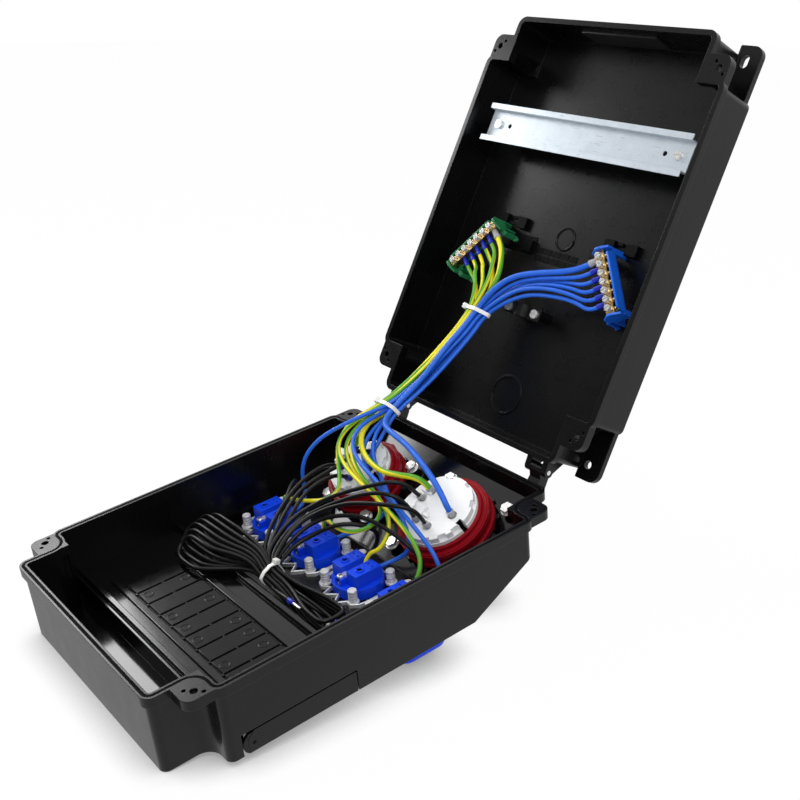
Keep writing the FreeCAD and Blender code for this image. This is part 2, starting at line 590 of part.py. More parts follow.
def module_blank():
    """Strip of knock-out tongues in the breaker aperture, in two half rows."""
    top = RECESS_FLOOR + COVER_WALL
    half = APERTURE_HALF - BLANK_CLEARANCE
    span = (APERTURE_START + BLANK_CLEARANCE, APERTURE_END - BLANK_CLEARANCE)
    body = box((-half, half), span, (RECESS_FLOOR, top + BLANK_FLANGE_THICKNESS))
    wide = APERTURE_HALF + BLANK_FLANGE
    flange = box((-wide, wide), (APERTURE_START - BLANK_FLANGE, APERTURE_END + BLANK_FLANGE),
                 (top, top + BLANK_FLANGE_THICKNESS))
    blank = body.fuse(flange).removeSplitter()
    face = top + BLANK_FLANGE_THICKNESS
    pitch = 2 * APERTURE_HALF / MODULES
    middle = (span[0] + span[1]) / 2
    grooves = []
    for i in range(1, MODULES):
        x = -APERTURE_HALF + pitch * i
        sides = (x - KNOCKOUT_GROOVE / 2, x + KNOCKOUT_GROOVE / 2)
        for run in ((span[0], middle - 1), (middle + 1, span[1])):
            grooves.append(box(sides, run, (face - KNOCKOUT_DEPTH, face + 1)))
    return blank.cut(Part.makeCompound(grooves))


def socket_levels():
    """Heights of a two-pole socket: seal face, flange face, collar face and well floor."""
    flange_back = -COVER_DEPTH - SOCKET_SEAL
    flange_face = flange_back - SOCKET_FLANGE_THICKNESS
    collar = flange_face - SOCKET_COLLAR
    return flange_back, flange_face, collar, collar + SOCKET_WELL_DEPTH


def block_level():
    """Height of the wire entries in the terminal blocks of a two-pole socket."""
    return socket_levels()[3] + SOCKET_FLOOR + BLOCK_HEIGHT / 2


def terminal(place, pole):
    """Where a wire ends: in the terminal of a five-pole or two-pole socket that carries the pole."""
    if place in CEE_SIZES:
        size = CEE_SIZES[place]
        x, y = on_ring(size["terminal"], CEE_TERMINAL_DEG[place][CEE_POLES.index(pole)])
        point = cee_place(Part.Vertex(x, y, size["rear"] - WIRE_RADIUS / 2), size).Point
        return (point.x, point.y, point.z)
    x = dict(zip(socket_names(), socket_places()))[place]
    if pole == "earth":
        return (x, SOCKET_Y + 7.5, block_level() - BLOCK_HEIGHT / 2 + BRIDGE_HEIGHT + 0.8)
    side = 1 if pole == "neutral" else -1
    return (x + side * BLOCK_SPACING / 2, SOCKET_Y + BLOCK_LENGTH / 2 - ENTRY_DEPTH / 2, block_level())


def lid_axis():
    _, flange_face, _, _ = socket_levels()
    return -SOCKET_FLANGE / 2 - LID_AXIS_OUT, flange_face - 0.5


def rounded_square(side, radius, z):
    half = side / 2
    corners = [(-half, -half), (half, -half), (half, half), (-half, half)]
    return slab(rounded(corners, [radius] * 4), *z)


def stud_holes(z):
    return [rod(STUD_RADIUS + STUD_CLEARANCE, (x, y, z[0]), (x, y, z[1])) for x, y in post_places()]


def contact_holes(z, radius):
    return [rod(radius, (x, 0, z[0]), (x, 0, z[1])) for x in (-CONTACT_PITCH / 2, CONTACT_PITCH / 2)]


def socket_body():
    """Flange and open cup of a two-pole socket, with the ears of its lid."""
    back, face, collar, floor = socket_levels()
    flange = rounded_square(SOCKET_FLANGE, 5.0, (face, back))
    cup = rod(SOCKET_CUP_RADIUS, (0, 0, collar), (0, 0, floor))
    well = rod(SOCKET_WELL_RADIUS, (0, 0, collar - 1), (0, 0, floor + 1))
    cuts = [well] + stud_holes((face + 1, back + 1))
    return fused([flange.fuse(cup).cut(Part.makeCompound(cuts))] + lid_ears())


def socket_block():
    """Rear of a two-pole socket: the base that closes its cup and the two terminal blocks."""
    _, _, _, floor = socket_levels()
    rear = floor + SOCKET_FLOOR
    top = rear + BLOCK_HEIGHT
    half = BLOCK_LENGTH / 2
    parts = [rod(SOCKET_CUP_RADIUS, (0, 0, floor), (0, 0, rear))]
    cuts = contact_holes((floor - 1, floor + BLOCK_HEIGHT), CONTACT_BORE + CONTACT_WALL + STUD_CLEARANCE)
    for x in (-BLOCK_SPACING / 2, BLOCK_SPACING / 2):
        parts.append(box((x - BLOCK_WIDTH / 2, x + BLOCK_WIDTH / 2), (-half, half), (rear - 1, top)))
        cuts.append(rod(ENTRY_RADIUS, (x, half - ENTRY_DEPTH, block_level()), (x, half + 1, block_level())))
        cuts.append(rod(2.4, (x, -4, top - 3), (x, -4, top + 1)))
        for dx in (-2.6, 2.6):
            cuts.append(rod(1.0, (x + dx, 7, top - 3), (x + dx, 7, top + 1)))
    return fused(parts).cut(Part.makeCompound(cuts))


def lid_ears():
    y, z = lid_axis()
    _, face, _, _ = socket_levels()
    ears = []
    inner = LID_ARM / 2 + EAR_GAP
    for start in (-inner - LID_EAR, inner):
        x = (start, start + LID_EAR)
        web = box(x, (y, -SOCKET_FLANGE / 2 + 1), (face, face + LID_KNUCKLE_RADIUS))
        ears.append(web.fuse(rod(LID_KNUCKLE_RADIUS, (x[0], y, z), (x[1], y, z))).cut(lid_bore(x)))
    return ears


def lid_bore(x):
    y, z = lid_axis()
    return rod(LID_PIN_RADIUS + RUNNING_CLEARANCE, (x[0] - 1, y, z), (x[1] + 1, y, z))


def lid_pin():
    y, z = lid_axis()
    reach = LID_ARM / 2 + EAR_GAP + LID_EAR
    return rod(LID_PIN_RADIUS, (-reach, y, z), (reach, y, z))


def socket_lid():
    _, _, collar, _ = socket_levels()
    base = collar - LID_GAP
    face = base - LID_HEIGHT
    cap = rounded_square(SOCKET_FLANGE - 2, 12.0, (face, base))
    edges = [e for e in cap.Edges if all(abs(v.Z - face) < 1e-6 for v in e.Vertexes)]
    cap = cap.makeFillet(3.0, edges)
    cap = cap.cut(rod(SOCKET_CUP_RADIUS, (0, 0, face + LID_WALL), (0, 0, base + 1)))
    y, z = lid_axis()
    x = (-LID_ARM / 2, LID_ARM / 2)
    arm = profile_x([(y, z - LID_KNUCKLE_RADIUS), (y, base - 5.5), (-SOCKET_FLANGE / 2 + 3.4, base - 7),
                     (-SOCKET_FLANGE / 2 + 3.4, base - 1), (y + 1, base - 0.4)], x)
    knuckle = rod(LID_KNUCKLE_RADIUS, (x[0], y, z), (x[1], y, z))
    grip = box((-9, 9), (SOCKET_FLANGE / 2 - 2, SOCKET_FLANGE / 2 + 3), (base - 4, base - 1))
    return fused([cap, arm.fuse(knuckle).cut(lid_bore(x)), grip])


def socket_seal():
    back, _, _, _ = socket_levels()
    plate = rounded_square(SOCKET_FLANGE, 5.0, (back, -COVER_DEPTH))
    cuts = [rod(SOCKET_CUP_RADIUS + SOCKET_HOLE_CLEARANCE, (0, 0, back - 1), (0, 0, -COVER_DEPTH + 1))]
    return plate.cut(Part.makeCompound(cuts + stud_holes((back - 1, -COVER_DEPTH + 1))))


def socket_frame():
    """Sprung retaining frame on the inner face, with a zigzag edge on the breaker side."""
    bottom = -COVER_DEPTH + COVER_WALL
    z = (bottom, bottom + FRAME_THICKNESS)
    half = SOCKET_FLANGE / 2
    inner = half - 4.5
    tooth = 2.4
    outline = [(half, half), (-half, half), (-half, -half)]
    teeth = 4
    for i in range(1, 2 * teeth):
        depth = tooth if i % 2 else 0.0
        outline.append((-half + 2 * half * i / (2 * teeth), -half + depth))
    outline.append((half, -half))
    plate = Part.Face(Part.makePolygon([V(x, y, z[0]) for x, y in outline + outline[:1]]))
    plate = plate.extrude(V(0, 0, FRAME_THICKNESS))
    hole = SOCKET_CUP_RADIUS + SOCKET_HOLE_CLEARANCE
    cuts = [rod(hole, (0, 0, z[0] - 1), (0, 0, z[1] + 1))]
    for x in (-inner, inner):
        cuts.append(box((x - 1.5, x + 1.5), (-9, 9), (z[0] - 1, z[1] + 1)))
    return plate.cut(Part.makeCompound(cuts + stud_holes((z[0] - 1, z[1] + 1))))


def socket_posts():
    """Screw posts that draw the outer flange and the inner frame together."""
    bottom = -COVER_DEPTH + COVER_WALL + FRAME_THICKNESS
    _, face, _, _ = socket_levels()
    posts = []
    for sx in socket_places():
        for px, py in post_places():
            x, y = sx + px, SOCKET_Y + py
            head = rod(POST_RADIUS, (x, y, bottom), (x, y, bottom + POST_HEIGHT))
            shank = rod(STUD_RADIUS, (x, y, face + 1), (x, y, bottom + 1))
            posts.append(head.fuse(shank).removeSplitter())
    return Part.makeCompound(posts)


def socket_contacts():
    """Pin sleeves in the two blocks and sprung earth strips up the walls of each well."""
    _, _, collar, floor = socket_levels()
    parts = []
    for sx in socket_places():
        for x in (-CONTACT_PITCH / 2, CONTACT_PITCH / 2):
            z = (floor, floor + BLOCK_HEIGHT - 1.5)
            sleeve = rod(CONTACT_BORE + CONTACT_WALL, (sx + x, SOCKET_Y, z[0]), (sx + x, SOCKET_Y, z[1]))
            parts.append(sleeve.cut(rod(CONTACT_BORE, (sx + x, SOCKET_Y, z[0] - 1), (sx + x, SOCKET_Y, z[1] - 1))))
        outer = SOCKET_WELL_RADIUS - 0.35
        for side in (-1, 1):
            y = sorted((SOCKET_Y + side * (outer - 1.0), SOCKET_Y + side * outer))
            parts.append(box((sx - 2.5, sx + 2.5), y, (collar + 4, floor)))
    return Part.makeCompound(parts)


def terminal_screws():
    """Clamp screws in the blocks and the earth screw between them."""
    _, _, _, floor = socket_levels()
    rear = floor + SOCKET_FLOOR
    top = rear + BLOCK_HEIGHT
    screws = []
    for sx in socket_places():
        for x in (-BLOCK_SPACING / 2, BLOCK_SPACING / 2):
            screws.append(rod(2.2, (sx + x, SOCKET_Y - 4, top - 3), (sx + x, SOCKET_Y - 4, top - 0.6)))
        earth = rod(2.6, (sx, SOCKET_Y - 11, rear + 5), (sx, SOCKET_Y - 11, rear + 8))
        stem = rod(1.5, (sx, SOCKET_Y - 11, rear), (sx, SOCKET_Y - 11, rear + 6))
        bridge = box((sx - 2.2, sx + 2.2), (SOCKET_Y - 8, SOCKET_Y + 10), (rear, rear + BRIDGE_HEIGHT))
        screws += [earth.fuse(stem).removeSplitter(), bridge]
    return Part.makeCompound(screws)


def cee_face():
    return -CEE_SEAL - CEE_FLANGE_THICKNESS


def cee_housing(size):
    """Flange of a five-pole socket with the ears of its lid outside and the seat of its insert inside."""
    fx, fy = size["flange"][0] / 2, size["flange"][1] / 2
    flange = slab(rounded([(-fx, -fy), (fx, -fy), (fx, fy), (-fx, fy)], [8] * 4), cee_face(), -CEE_SEAL)
    red, seat = size["red"], 2 * COVER_WALL
    barrel = rod(red, (0, 0, cee_face()), (0, 0, size["inside"]))
    rim = rod(red + CEE_RIM, (0, 0, size["inside"] - 4), (0, 0, size["inside"]))
    body = fused([flange, barrel, rim] + cee_ears(size))
    cuts = [rod(red - CEE_SHROUD_WALL, (0, 0, cee_face() - 1), (0, 0, seat)),
            rod(size["white"] + STUD_CLEARANCE, (0, 0, seat), (0, 0, size["inside"] + 1))]
    for x, y in cee_bolts_at(size):
        cuts.append(rod(CEE_BOLT_RADIUS + STUD_CLEARANCE, (x, y, cee_face() - 1), (x, y, 0)))
    return body.cut(Part.makeCompound(cuts))


def cee_shroud(size):
    """Open barrel in front of the flange, with its key rib, which takes the plug."""
    red = size["red"]
    barrel = rod(red, (0, 0, -size["reach"]), (0, 0, cee_face()))
    key = box((-5, 5), (-red - CEE_RIM, 0), (-size["reach"] + 8, cee_face()))
    return fused([barrel, key]).cut(rod(red - CEE_SHROUD_WALL, (0, 0, -size["reach"] - 1), (0, 0, cee_face() + 1)))


def cee_axis(size):
    return -size["flange"][1] / 2, -size["reach"] + 2.0


def cee_bore(size, x):
    y, z = cee_axis(size)
    return rod(PIN_RADIUS + RUNNING_CLEARANCE, (x[0] - 1, y, z), (x[1] + 1, y, z))


def cee_ears(size):
    y, z = cee_axis(size)
    face = cee_face()
    ears = []
    for x in (CEE_EAR_X, (-CEE_EAR_X[1], -CEE_EAR_X[0])):
        points = [(y, face + 1), (y + 7, face + 1), (y + 3.5, z), (y - KNUCKLE_RADIUS, z), (y - KNUCKLE_RADIUS, z + 5)]
        knuckle = rod(KNUCKLE_RADIUS, (x[0], y, z), (x[1], y, z))
        ears.append(profile_x(points, x).fuse(knuckle).cut(cee_bore(size, x)))
    return ears


def cee_pin(size):
    y, z = cee_axis(size)
    return rod(PIN_RADIUS, (-CEE_EAR_X[1], y, z), (CEE_EAR_X[1], y, z))


def cee_lid_radius(size):
    return size["red"] + CEE_LID_PLAY + CEE_LID_WALL


def lid_foot(size, out):
    """Centre of the rounding on a lid's lowest edge, its face so far out from the panel."""
    slope = math.radians(SLOPE_DEG)
    along = CEE_ALONG - cee_lid_radius(size) + CEE_LID_FILLET
    out -= CEE_LID_FILLET
    return (SLOPE_START + along * math.cos(slope) + out * math.sin(slope),
            -COVER_DEPTH + along * math.sin(slope) - out * math.cos(slope))


def floor_tilt():
    """Lean, in degrees, at which the cover stands on its breaker-end edge and the larger lid."""
    size = CEE_SIZES["cee32"]
    y, z = lid_foot(size, size["reach"] + CEE_LID_GAP + CEE_LID_DEPTH)
    run, drop = y + HALF_LENGTH, -COVER_DEPTH - z
    return math.degrees(math.atan2(drop, run) + math.asin(CEE_LID_FILLET / math.hypot(run, drop)))


def cee_lid_face(size):
    """Height of a lid's face that brings its lowest edge down to the same floor."""
    lean, slope = math.radians(floor_tilt()), math.radians(SLOPE_DEG)
    y, z = lid_foot(size, 0)
    short = (y + HALF_LENGTH) * math.sin(lean) + (z + COVER_DEPTH) * math.cos(lean) - CEE_LID_FILLET
    return -short / math.cos(slope + lean)


def cee_lid(size):
    mouth = -size["reach"]
    face = cee_lid_face(size)
    radius = cee_lid_radius(size)
    cap = rod(radius, (0, 0, face), (0, 0, mouth + CEE_LID_SKIRT))
    rim = [e for e in cap.Edges if e.Closed and abs(e.Vertexes[0].Z - face) < 1e-6]
    cap = cap.makeFillet(CEE_LID_FILLET, rim)
    hollow = radius - CEE_LID_WALL
    cap = cap.cut(rod(hollow, (0, 0, face + CEE_LID_WALL), (0, 0, mouth + CEE_LID_SKIRT + 1)))
    y, z = cee_axis(size)
    x = (-CEE_EAR_X[0] + EAR_GAP, CEE_EAR_X[0] - EAR_GAP)
    inner_edge = -math.sqrt(radius ** 2 - x[1] ** 2) + 1
    arm = profile_x([(y, z + KNUCKLE_RADIUS), (y - KNUCKLE_RADIUS, z), (y, z - KNUCKLE_RADIUS - 1),
                     (inner_edge, face + 2), (inner_edge, z + 1)], x)
    knuckle = rod(KNUCKLE_RADIUS, (x[0], y, z), (x[1], y, z))
    edge = math.sqrt(radius ** 2 - 12 ** 2) - 1
    latch = box((-12, 12), (edge, radius + 6), (face + 3, face + 7))
    cap = fused([cap, arm.fuse(knuckle).cut(cee_bore(size, x)), latch])
    return cap.cut(rod(hollow, (0, 0, face + CEE_LID_WALL), (0, 0, mouth + CEE_LID_SKIRT + 1)))


def on_ring(radius, deg):
    return radius * math.cos(math.radians(deg)), radius * math.sin(math.radians(deg))


def cee_pins(size, z, radius):
    return [rod(radius, (*on_ring(size["ring"], deg), z[0]), (*on_ring(size["ring"], deg), z[1])) for deg in CEE_PIN_DEG]


def cee_core(size):
    """Contact carrier in the well of a five-pole socket."""
    z = (-size["reach"] + 6, 2 * COVER_WALL)
    bore = size["contact"] + CONTACT_WALL + STUD_CLEARANCE
    return rod(size["core"], (0, 0, z[0]), (0, 0, z[1])).cut(Part.makeCompound(cee_pins(size, (z[0] - 1, z[1] + 1), bore)))


def cee_insert(name, size):
    """Seated disc of a five-pole socket and its terminal cap: notched rim, window, bridge and wire entries."""
    seat, white, rear = 2 * COVER_WALL, size["white"], size["rear"]
    step = rear - CEE_CAP_STEP
    (start, end), sides = size["bridge"]
    middle = (start + end) / 2
    parts = [rod(white, (0, 0, seat), (0, 0, step)),
             rod(white - CEE_CAP_LEDGE, (0, 0, step - 1), (0, 0, rear)),
             box((start, middle), sides, (rear - 1, rear + CEE_BRIDGE_HEIGHT)),
             box((middle - 1, end), sides, (rear - 1, rear + CEE_BRIDGE_HEIGHT / 2))]
    cuts = cee_pins(size, (seat - 1, seat + 14), size["contact"] + CONTACT_WALL + STUD_CLEARANCE)
    width, depth = CEE_CAP_NOTCH
    pockets = [(deg, width, depth, step) for deg in CEE_CAP_NOTCH_DEG]
    pockets.append((CEE_WINDOW_DEG, CEE_WINDOW, CEE_WINDOW, step - CEE_CAP_STEP))
    for deg, width, depth, bottom in pockets:
        pocket = box((white - CEE_CAP_LEDGE - depth, white + 1), (-width / 2, width / 2), (bottom, rear + 1))
        pocket.rotate(V(0, 0, 0), V(0, 0, 1), deg)
        cuts.append(pocket)
    for deg in CEE_TERMINAL_DEG[name]:
        x, y = on_ring(size["terminal"], deg)
        cuts.append(rod(CEE_ENTRY_RADIUS, (x, y, rear - 4), (x, y, rear + 1)))
    return fused(parts).cut(Part.makeCompound(cuts))


def cee_contacts(size):
    seat = 2 * COVER_WALL
    outer = cee_pins(size, (-size["reach"] + 8, seat + 14), size["contact"] + CONTACT_WALL)
    bores = cee_pins(size, (-size["reach"] + 7, seat + 10), size["contact"])
    return Part.makeCompound([sleeve.cut(bore) for sleeve, bore in zip(outer, bores)])


def cee_seal(size):
    fx, fy = size["flange"][0] / 2, size["flange"][1] / 2
    plate = slab(rounded([(-fx, -fy), (fx, -fy), (fx, fy), (-fx, fy)], [8] * 4), -CEE_SEAL, 0)
    cuts = [rod(size["red"] + CEE_PANEL_CLEARANCE, (0, 0, -CEE_SEAL - 1), (0, 0, 1))]
    for x, y in cee_bolts_at(size):
        cuts.append(rod(CEE_BOLT_RADIUS + STUD_CLEARANCE, (x, y, -CEE_SEAL - 1), (x, y, 1)))
    return plate.cut(Part.makeCompound(cuts))


def cee_bolts(size):
    """Bolts through flange, seal and panel, with their heads stood off on a spacer inside."""
    face = cee_face()
    bolts = []
    for x, y in cee_bolts_at(size):
        spacer = rod(CEE_BOLT_RADIUS + 1, (x, y, COVER_WALL), (x, y, COVER_WALL + CEE_BOLT_STAND))
        shank = rod(CEE_BOLT_RADIUS, (x, y, face + 1), (x, y, COVER_WALL + 1))
        top = COVER_WALL + CEE_BOLT_STAND
        head = moved(hexagon(CEE_HEAD_FLATS, top, top + CEE_HEAD_HEIGHT), x, y)
        bolts.append(fused([spacer, shank, head]))
    return bolts


def box_back():
    return BOX_DEPTH - BOX_WALL


def rear_shell():
    back = box_back()
    rim = RIM_GAP
    shell = housing((rim, BOX_DEPTH), (rim, rim + LIP_HEIGHT - 2), (rim - 1, back), BOX_WALL)
    plate, tab_cuts = tab((rim, rim + TAB_THICKNESS))
    additions = four_corners(plate)
    lug = corner_plate(LUG_OUT_X, LUG_OUT_Y, LUG_RADIUS, (BOX_DEPTH - LUG_THICKNESS, BOX_DEPTH))
    additions += four_corners(lug)
    additions += [rod(RAIL_POST_RADIUS, (x, RAIL_Y, RAIL_FRONT + RAIL_DEPTH), (x, RAIL_Y, back + 1))
                  for x in (-RAIL_SCREW_X, RAIL_SCREW_X)]
    additions += [rod(CLAMP_BOSS_RADIUS, (x, CLAMP_Y, CLAMP_SEAT), (x, CLAMP_Y, back + 1))
                  for x in (-CLAMP_HALF, CLAMP_HALF)]
    ring = rod(KNOCKOUT_RADIUS, (0, KNOCKOUT_CENTRE_Y, back - 0.8), (0, KNOCKOUT_CENTRE_Y, back + 1))
    ring = ring.cut(rod(KNOCKOUT_RADIUS - 2, (0, KNOCKOUT_CENTRE_Y, back - 2), (0, KNOCKOUT_CENTRE_Y, back + 2)))
    additions.append(ring)
    additions += hinge_ears() + [mirrored(e) for e in hinge_ears()]
    shell = fused([shell] + additions)
    cuts = []
    for cutter in tab_cuts:
        cuts += four_corners(cutter)
    x, y = LUG_HOLE
    z = (BOX_DEPTH - LUG_THICKNESS - 1, BOX_DEPTH + 1)
    cuts += both_sides(rod(LUG_HOLE_RADIUS, (x, y, z[0]), (x, y, z[1])))
    run = LUG_SLOT_LENGTH / 2 - LUG_HOLE_RADIUS
    ends = [rod(LUG_HOLE_RADIUS, (x, -y + d, z[0]), (x, -y + d, z[1])) for d in (-run, run)]
    middle = box((x - LUG_HOLE_RADIUS, x + LUG_HOLE_RADIUS), (-y - run, -y + run), z)
    cuts += both_sides(fused(ends + [middle]))
    for x in (-RAIL_SCREW_X, RAIL_SCREW_X):
        cuts.append(screw_hole(x, RAIL_Y, RAIL_FRONT + RAIL_DEPTH))
    for x in (-CLAMP_HALF, CLAMP_HALF):
        cuts.append(screw_hole(x, CLAMP_Y, CLAMP_SEAT))
    for side in (-1, 1):
        span = HINGE_X + ARM_WIDTH / 2 + EAR_GAP + EAR_WIDTH
        near = HINGE_X - ARM_WIDTH / 2 - EAR_GAP - EAR_WIDTH
        cuts.append(hinge_bore(sorted((side * span, side * near))))
    return shell.cut(Part.makeCompound(cuts))


SCREW_REACH = 12.0


def screw_hole(x, y, seat):
    return rod(SCREW_RADIUS + STUD_CLEARANCE, (x, y, seat - 1), (x, y, seat + SCREW_REACH + 1))


def screw(x, y, seat):
    """Pan-head screw whose head bears on a face at the seat height, driven towards +Z."""
    head = rod(SCREW_HEAD_RADIUS, (x, y, seat - SCREW_HEAD_HEIGHT), (x, y, seat))
    slot = box((x - SCREW_HEAD_RADIUS, x + SCREW_HEAD_RADIUS), (y - 0.4, y + 0.4),
               (seat - SCREW_HEAD_HEIGHT - 1, seat - SCREW_HEAD_HEIGHT + 1))
    return head.cut(slot).fuse(rod(SCREW_RADIUS, (x, y, seat - 1), (x, y, seat + SCREW_REACH)))


def din_rail():
    lip, web, back = RAIL_WIDTH / 2, RAIL_CHANNEL / 2, RAIL_FRONT + RAIL_DEPTH
    t = RAIL_SHEET
    half = [(web - t, back - t), (web - t, RAIL_FRONT), (lip, RAIL_FRONT), (lip, RAIL_FRONT + t),
            (web, RAIL_FRONT + t), (web, back)]
    points = half + [(-y, z) for y, z in reversed(half)]
    rail = profile_x([(RAIL_Y + y, z) for y, z in points], (-RAIL_LENGTH / 2, RAIL_LENGTH / 2))
    cuts = []
    for side in (-1, 1):
        x = side * RAIL_SCREW_X
        cuts.append(rod(SCREW_RADIUS + STUD_CLEARANCE, (x, RAIL_Y, back - 3), (x, RAIL_Y, back + 1)))
        inner = x - side * 14
        cuts.append(rod(SCREW_RADIUS + STUD_CLEARANCE, (inner, RAIL_Y, back - 3), (inner, RAIL_Y, back + 1)))
    return rail.cut(Part.makeCompound(cuts))


def bar_place(shape, side):
    """Puts a shape drawn along Y at x = 0, wires leaving towards +X, at its own side of the box."""
    placed = shape.copy() if side < 0 else mirrored(shape)
    placed.rotate(V(0, 0, 0), V(0, 0, 1), -side * BAR_DEG if side > 0 else BAR_DEG)
    placed.translate(V(side * BAR_CENTRE[0], BAR_CENTRE[1], 0))
    return placed


def bar_ways():
    return [BAR_PITCH * (i - (BAR_WAYS - 1) / 2) for i in range(BAR_WAYS)]


def wire_level():
    return BAR_FRONT + BAR_HEIGHT / 2


def terminal_bar():
    half = BAR_WIDTH / 2
    bar = box((-half, half), (-BAR_LENGTH / 2, BAR_LENGTH / 2), (BAR_FRONT, BAR_FRONT + BAR_HEIGHT))
    cuts = []
    for y in bar_ways():
        cuts.append(rod(WIRE_HOLE_RADIUS, (-half - 1, y, wire_level()), (half + 1, y, wire_level())))
        cuts.append(rod(BAR_SCREW_RADIUS - 0.5, (0, y, BAR_FRONT - 1), (0, y, wire_level())))
    return bar.cut(Part.makeCompound(cuts))


def bar_screws():
    screws = []
    for y in bar_ways():
        head = rod(BAR_SCREW_RADIUS, (0, y, BAR_FRONT - BAR_SCREW_HEIGHT), (0, y, BAR_FRONT))
        slot = box((-BAR_SCREW_RADIUS, BAR_SCREW_RADIUS), (y - 0.4, y + 0.4),
                   (BAR_FRONT - BAR_SCREW_HEIGHT - 1, BAR_FRONT - BAR_SCREW_HEIGHT + 1.2))
        stem = rod(BAR_SCREW_RADIUS - 0.7, (0, y, BAR_FRONT - 1), (0, y, wire_level() - WIRE_HOLE_RADIUS + 0.5))
        screws.append(head.cut(slot).fuse(stem))
    return Part.makeCompound(screws)


def bar_holder():
    """Moulded carrier: end cheeks that grip the bar, a back wall, a floor and two feet."""
    length = BAR_LENGTH / 2
    half = HOLDER_WIDTH / 2
    bottom = BAR_FRONT + BAR_HEIGHT
    floor = (bottom, bottom + HOLDER_FLOOR)
    parts = [box((-half, half - 2.5), (-length - HOLDER_END, length + HOLDER_END), floor),
             box((-half, -half + HOLDER_BACK), (-length, length), (BAR_FRONT + 1, floor[1]))]
    for side in (-1, 1):
        y = sorted((side * length, side * (length + HOLDER_END)))
        parts.append(box((-half, half), y, (BAR_FRONT - 2, floor[1])))
        foot = sorted((side * (length + HOLDER_END), side * (length + HOLDER_END - FOOT_WIDTH)))
        parts.append(box((-half + 1, half - 1), foot, (floor[1] - 1, box_back())))
    return fused(parts)


def bar_ferrules(heavy_first):
    """Crimped collars of the wires, standing on the side of the bar."""
    ferrules = []
    for i, y in enumerate(bar_ways()[:-1]):
        radius = HEAVY_RADIUS + 0.4 if i == 0 and heavy_first else WIRE_RADIUS + 0.5
        start = BAR_WIDTH / 2
        collar = rod(radius, (start, y, wire_level()), (start + FERRULE_LENGTH, y, wire_level()))
        pin = rod(WIRE_HOLE_RADIUS - 0.5, (-start + 2, y, wire_level()), (start + 1, y, wire_level()))
        ferrules.append(collar.fuse(pin))
    return ferrules


def cable_clamp():
    """Saddle strap over the incoming cable, with a flat foot at each screw."""
    outer, inner = CLAMP_ARCH_RADIUS, CLAMP_ARCH_RADIUS - CLAMP_SHEET
    y = (CLAMP_Y - CLAMP_WIDTH / 2, CLAMP_Y + CLAMP_WIDTH / 2)
    seat = (CLAMP_SEAT - CLAMP_SHEET, CLAMP_SEAT)
    reach = CLAMP_HALF + CLAMP_BOSS_RADIUS
    arch = rod(outer, (0, y[0], CLAMP_SEAT), (0, y[1], CLAMP_SEAT))
    arch = arch.common(box((-outer, outer), y, (CLAMP_SEAT - outer, CLAMP_SEAT)))
    strap = fused([box((-reach, reach), y, seat), arch])
    cuts = [rod(inner, (0, y[0] - 1, CLAMP_SEAT), (0, y[1] + 1, CLAMP_SEAT))]
    for x in (-CLAMP_HALF, CLAMP_HALF):
        cuts.append(rod(SCREW_RADIUS + STUD_CLEARANCE, (x, CLAMP_Y, seat[0] - 1), (x, CLAMP_Y, seat[1] + 1)))
    return strap.cut(Part.makeCompound(cuts))


def opened(point):
    """Where a point of the closed rear box lies once the box is swung open."""
    turn = math.radians(OPEN_DEG)
    y, z = point[1] - HINGE_Y, point[2] - HINGE_Z
    return (point[0], HINGE_Y + y * math.cos(turn) + z * math.sin(turn),
            HINGE_Z - y * math.sin(turn) + z * math.cos(turn))


def bar_point(side, way, out):
    """Point beside a terminal of the PE (side -1) or N (side +1) bar, so far out along its wire."""
    lean = math.radians(BAR_DEG)
    along = bar_ways()[way]
    x = BAR_CENTRE[0] + along * math.sin(lean) - out * math.cos(lean)
    return (side * x, BAR_CENTRE[1] + along * math.cos(lean) + out * math.sin(lean), wire_level())


def span_points(slots):
    """Points of one wire along the free span and at the lower tie, from its slot at each."""
    return [(x + u, y + w * wy, z + w * wz) for ((x, y, z), (wy, wz)), (u, w) in zip(SPAN_STATIONS, slots)]


def harness_route(side, way):
    """A wire from its ferrule on the PE (side -1) or N (side +1) bar, through both ties, to its socket."""
    slots = (PE_SLOTS if side < 0 else N_SLOTS)[way]
    later = N_CHANGES.get(way) if side > 0 else None
    start = BAR_WIDTH / 2 + FERRULE_LENGTH + FERRULE_GAP
    in_box = [bar_point(side, way, start), bar_point(side, way, start + FERRULE_LENGTH)]
    in_box += (PE_UPPER if side < 0 else N_UPPER)[way]
    in_box.append((UPPER_TIE[0] + slots[0], UPPER_TIE[1], UPPER_TIE[2] - slots[1]))
    span = span_points(later or [slots] * len(SPAN_STATIONS))
    lower, end = (PE_LOWER[way], PE_ENDS[way]) if side < 0 else (N_LOWER[way], N_ENDS[way])
    return [opened(p) for p in in_box] + span + list(lower) + [terminal(*end)]


def phase_routes():
    return [[terminal(*start)] + list(route) for start, route in zip(PHASE_STARTS, PHASE_ROUTES)]


def tube(route, radius):
    """Round tube along straight runs joined by the largest tangent arcs that fit."""
    points = [V(*p) for p in route]
    edges, radii, length = [], [], 0.0
    last = points[0]
    for before, corner, after in zip(points, points[1:], points[2:]):
        back, ahead = (before - corner), (after - corner)
        reach = ARC_SHARE * min(back.Length, ahead.Length)
        half = back.getAngle(ahead) / 2
        bend = reach * math.tan(half)
        start = corner + back.normalize() * reach
        end = corner + ahead.normalize() * reach
        towards = (back + ahead).normalize()
        middle = corner + towards * (bend / math.sin(half) - bend)
        edges += [Part.makeLine(last, start), Part.Arc(start, middle, end).toShape()]
        radii.append(bend)
        last = end
    edges.append(Part.makeLine(last, points[-1]))
    path = Part.Wire(edges)
    circle = Part.Wire(Part.makeCircle(radius, points[0], points[1] - points[0]))
    solid = path.makePipeShell([circle], True, False)
    return solid, radii, path.Length


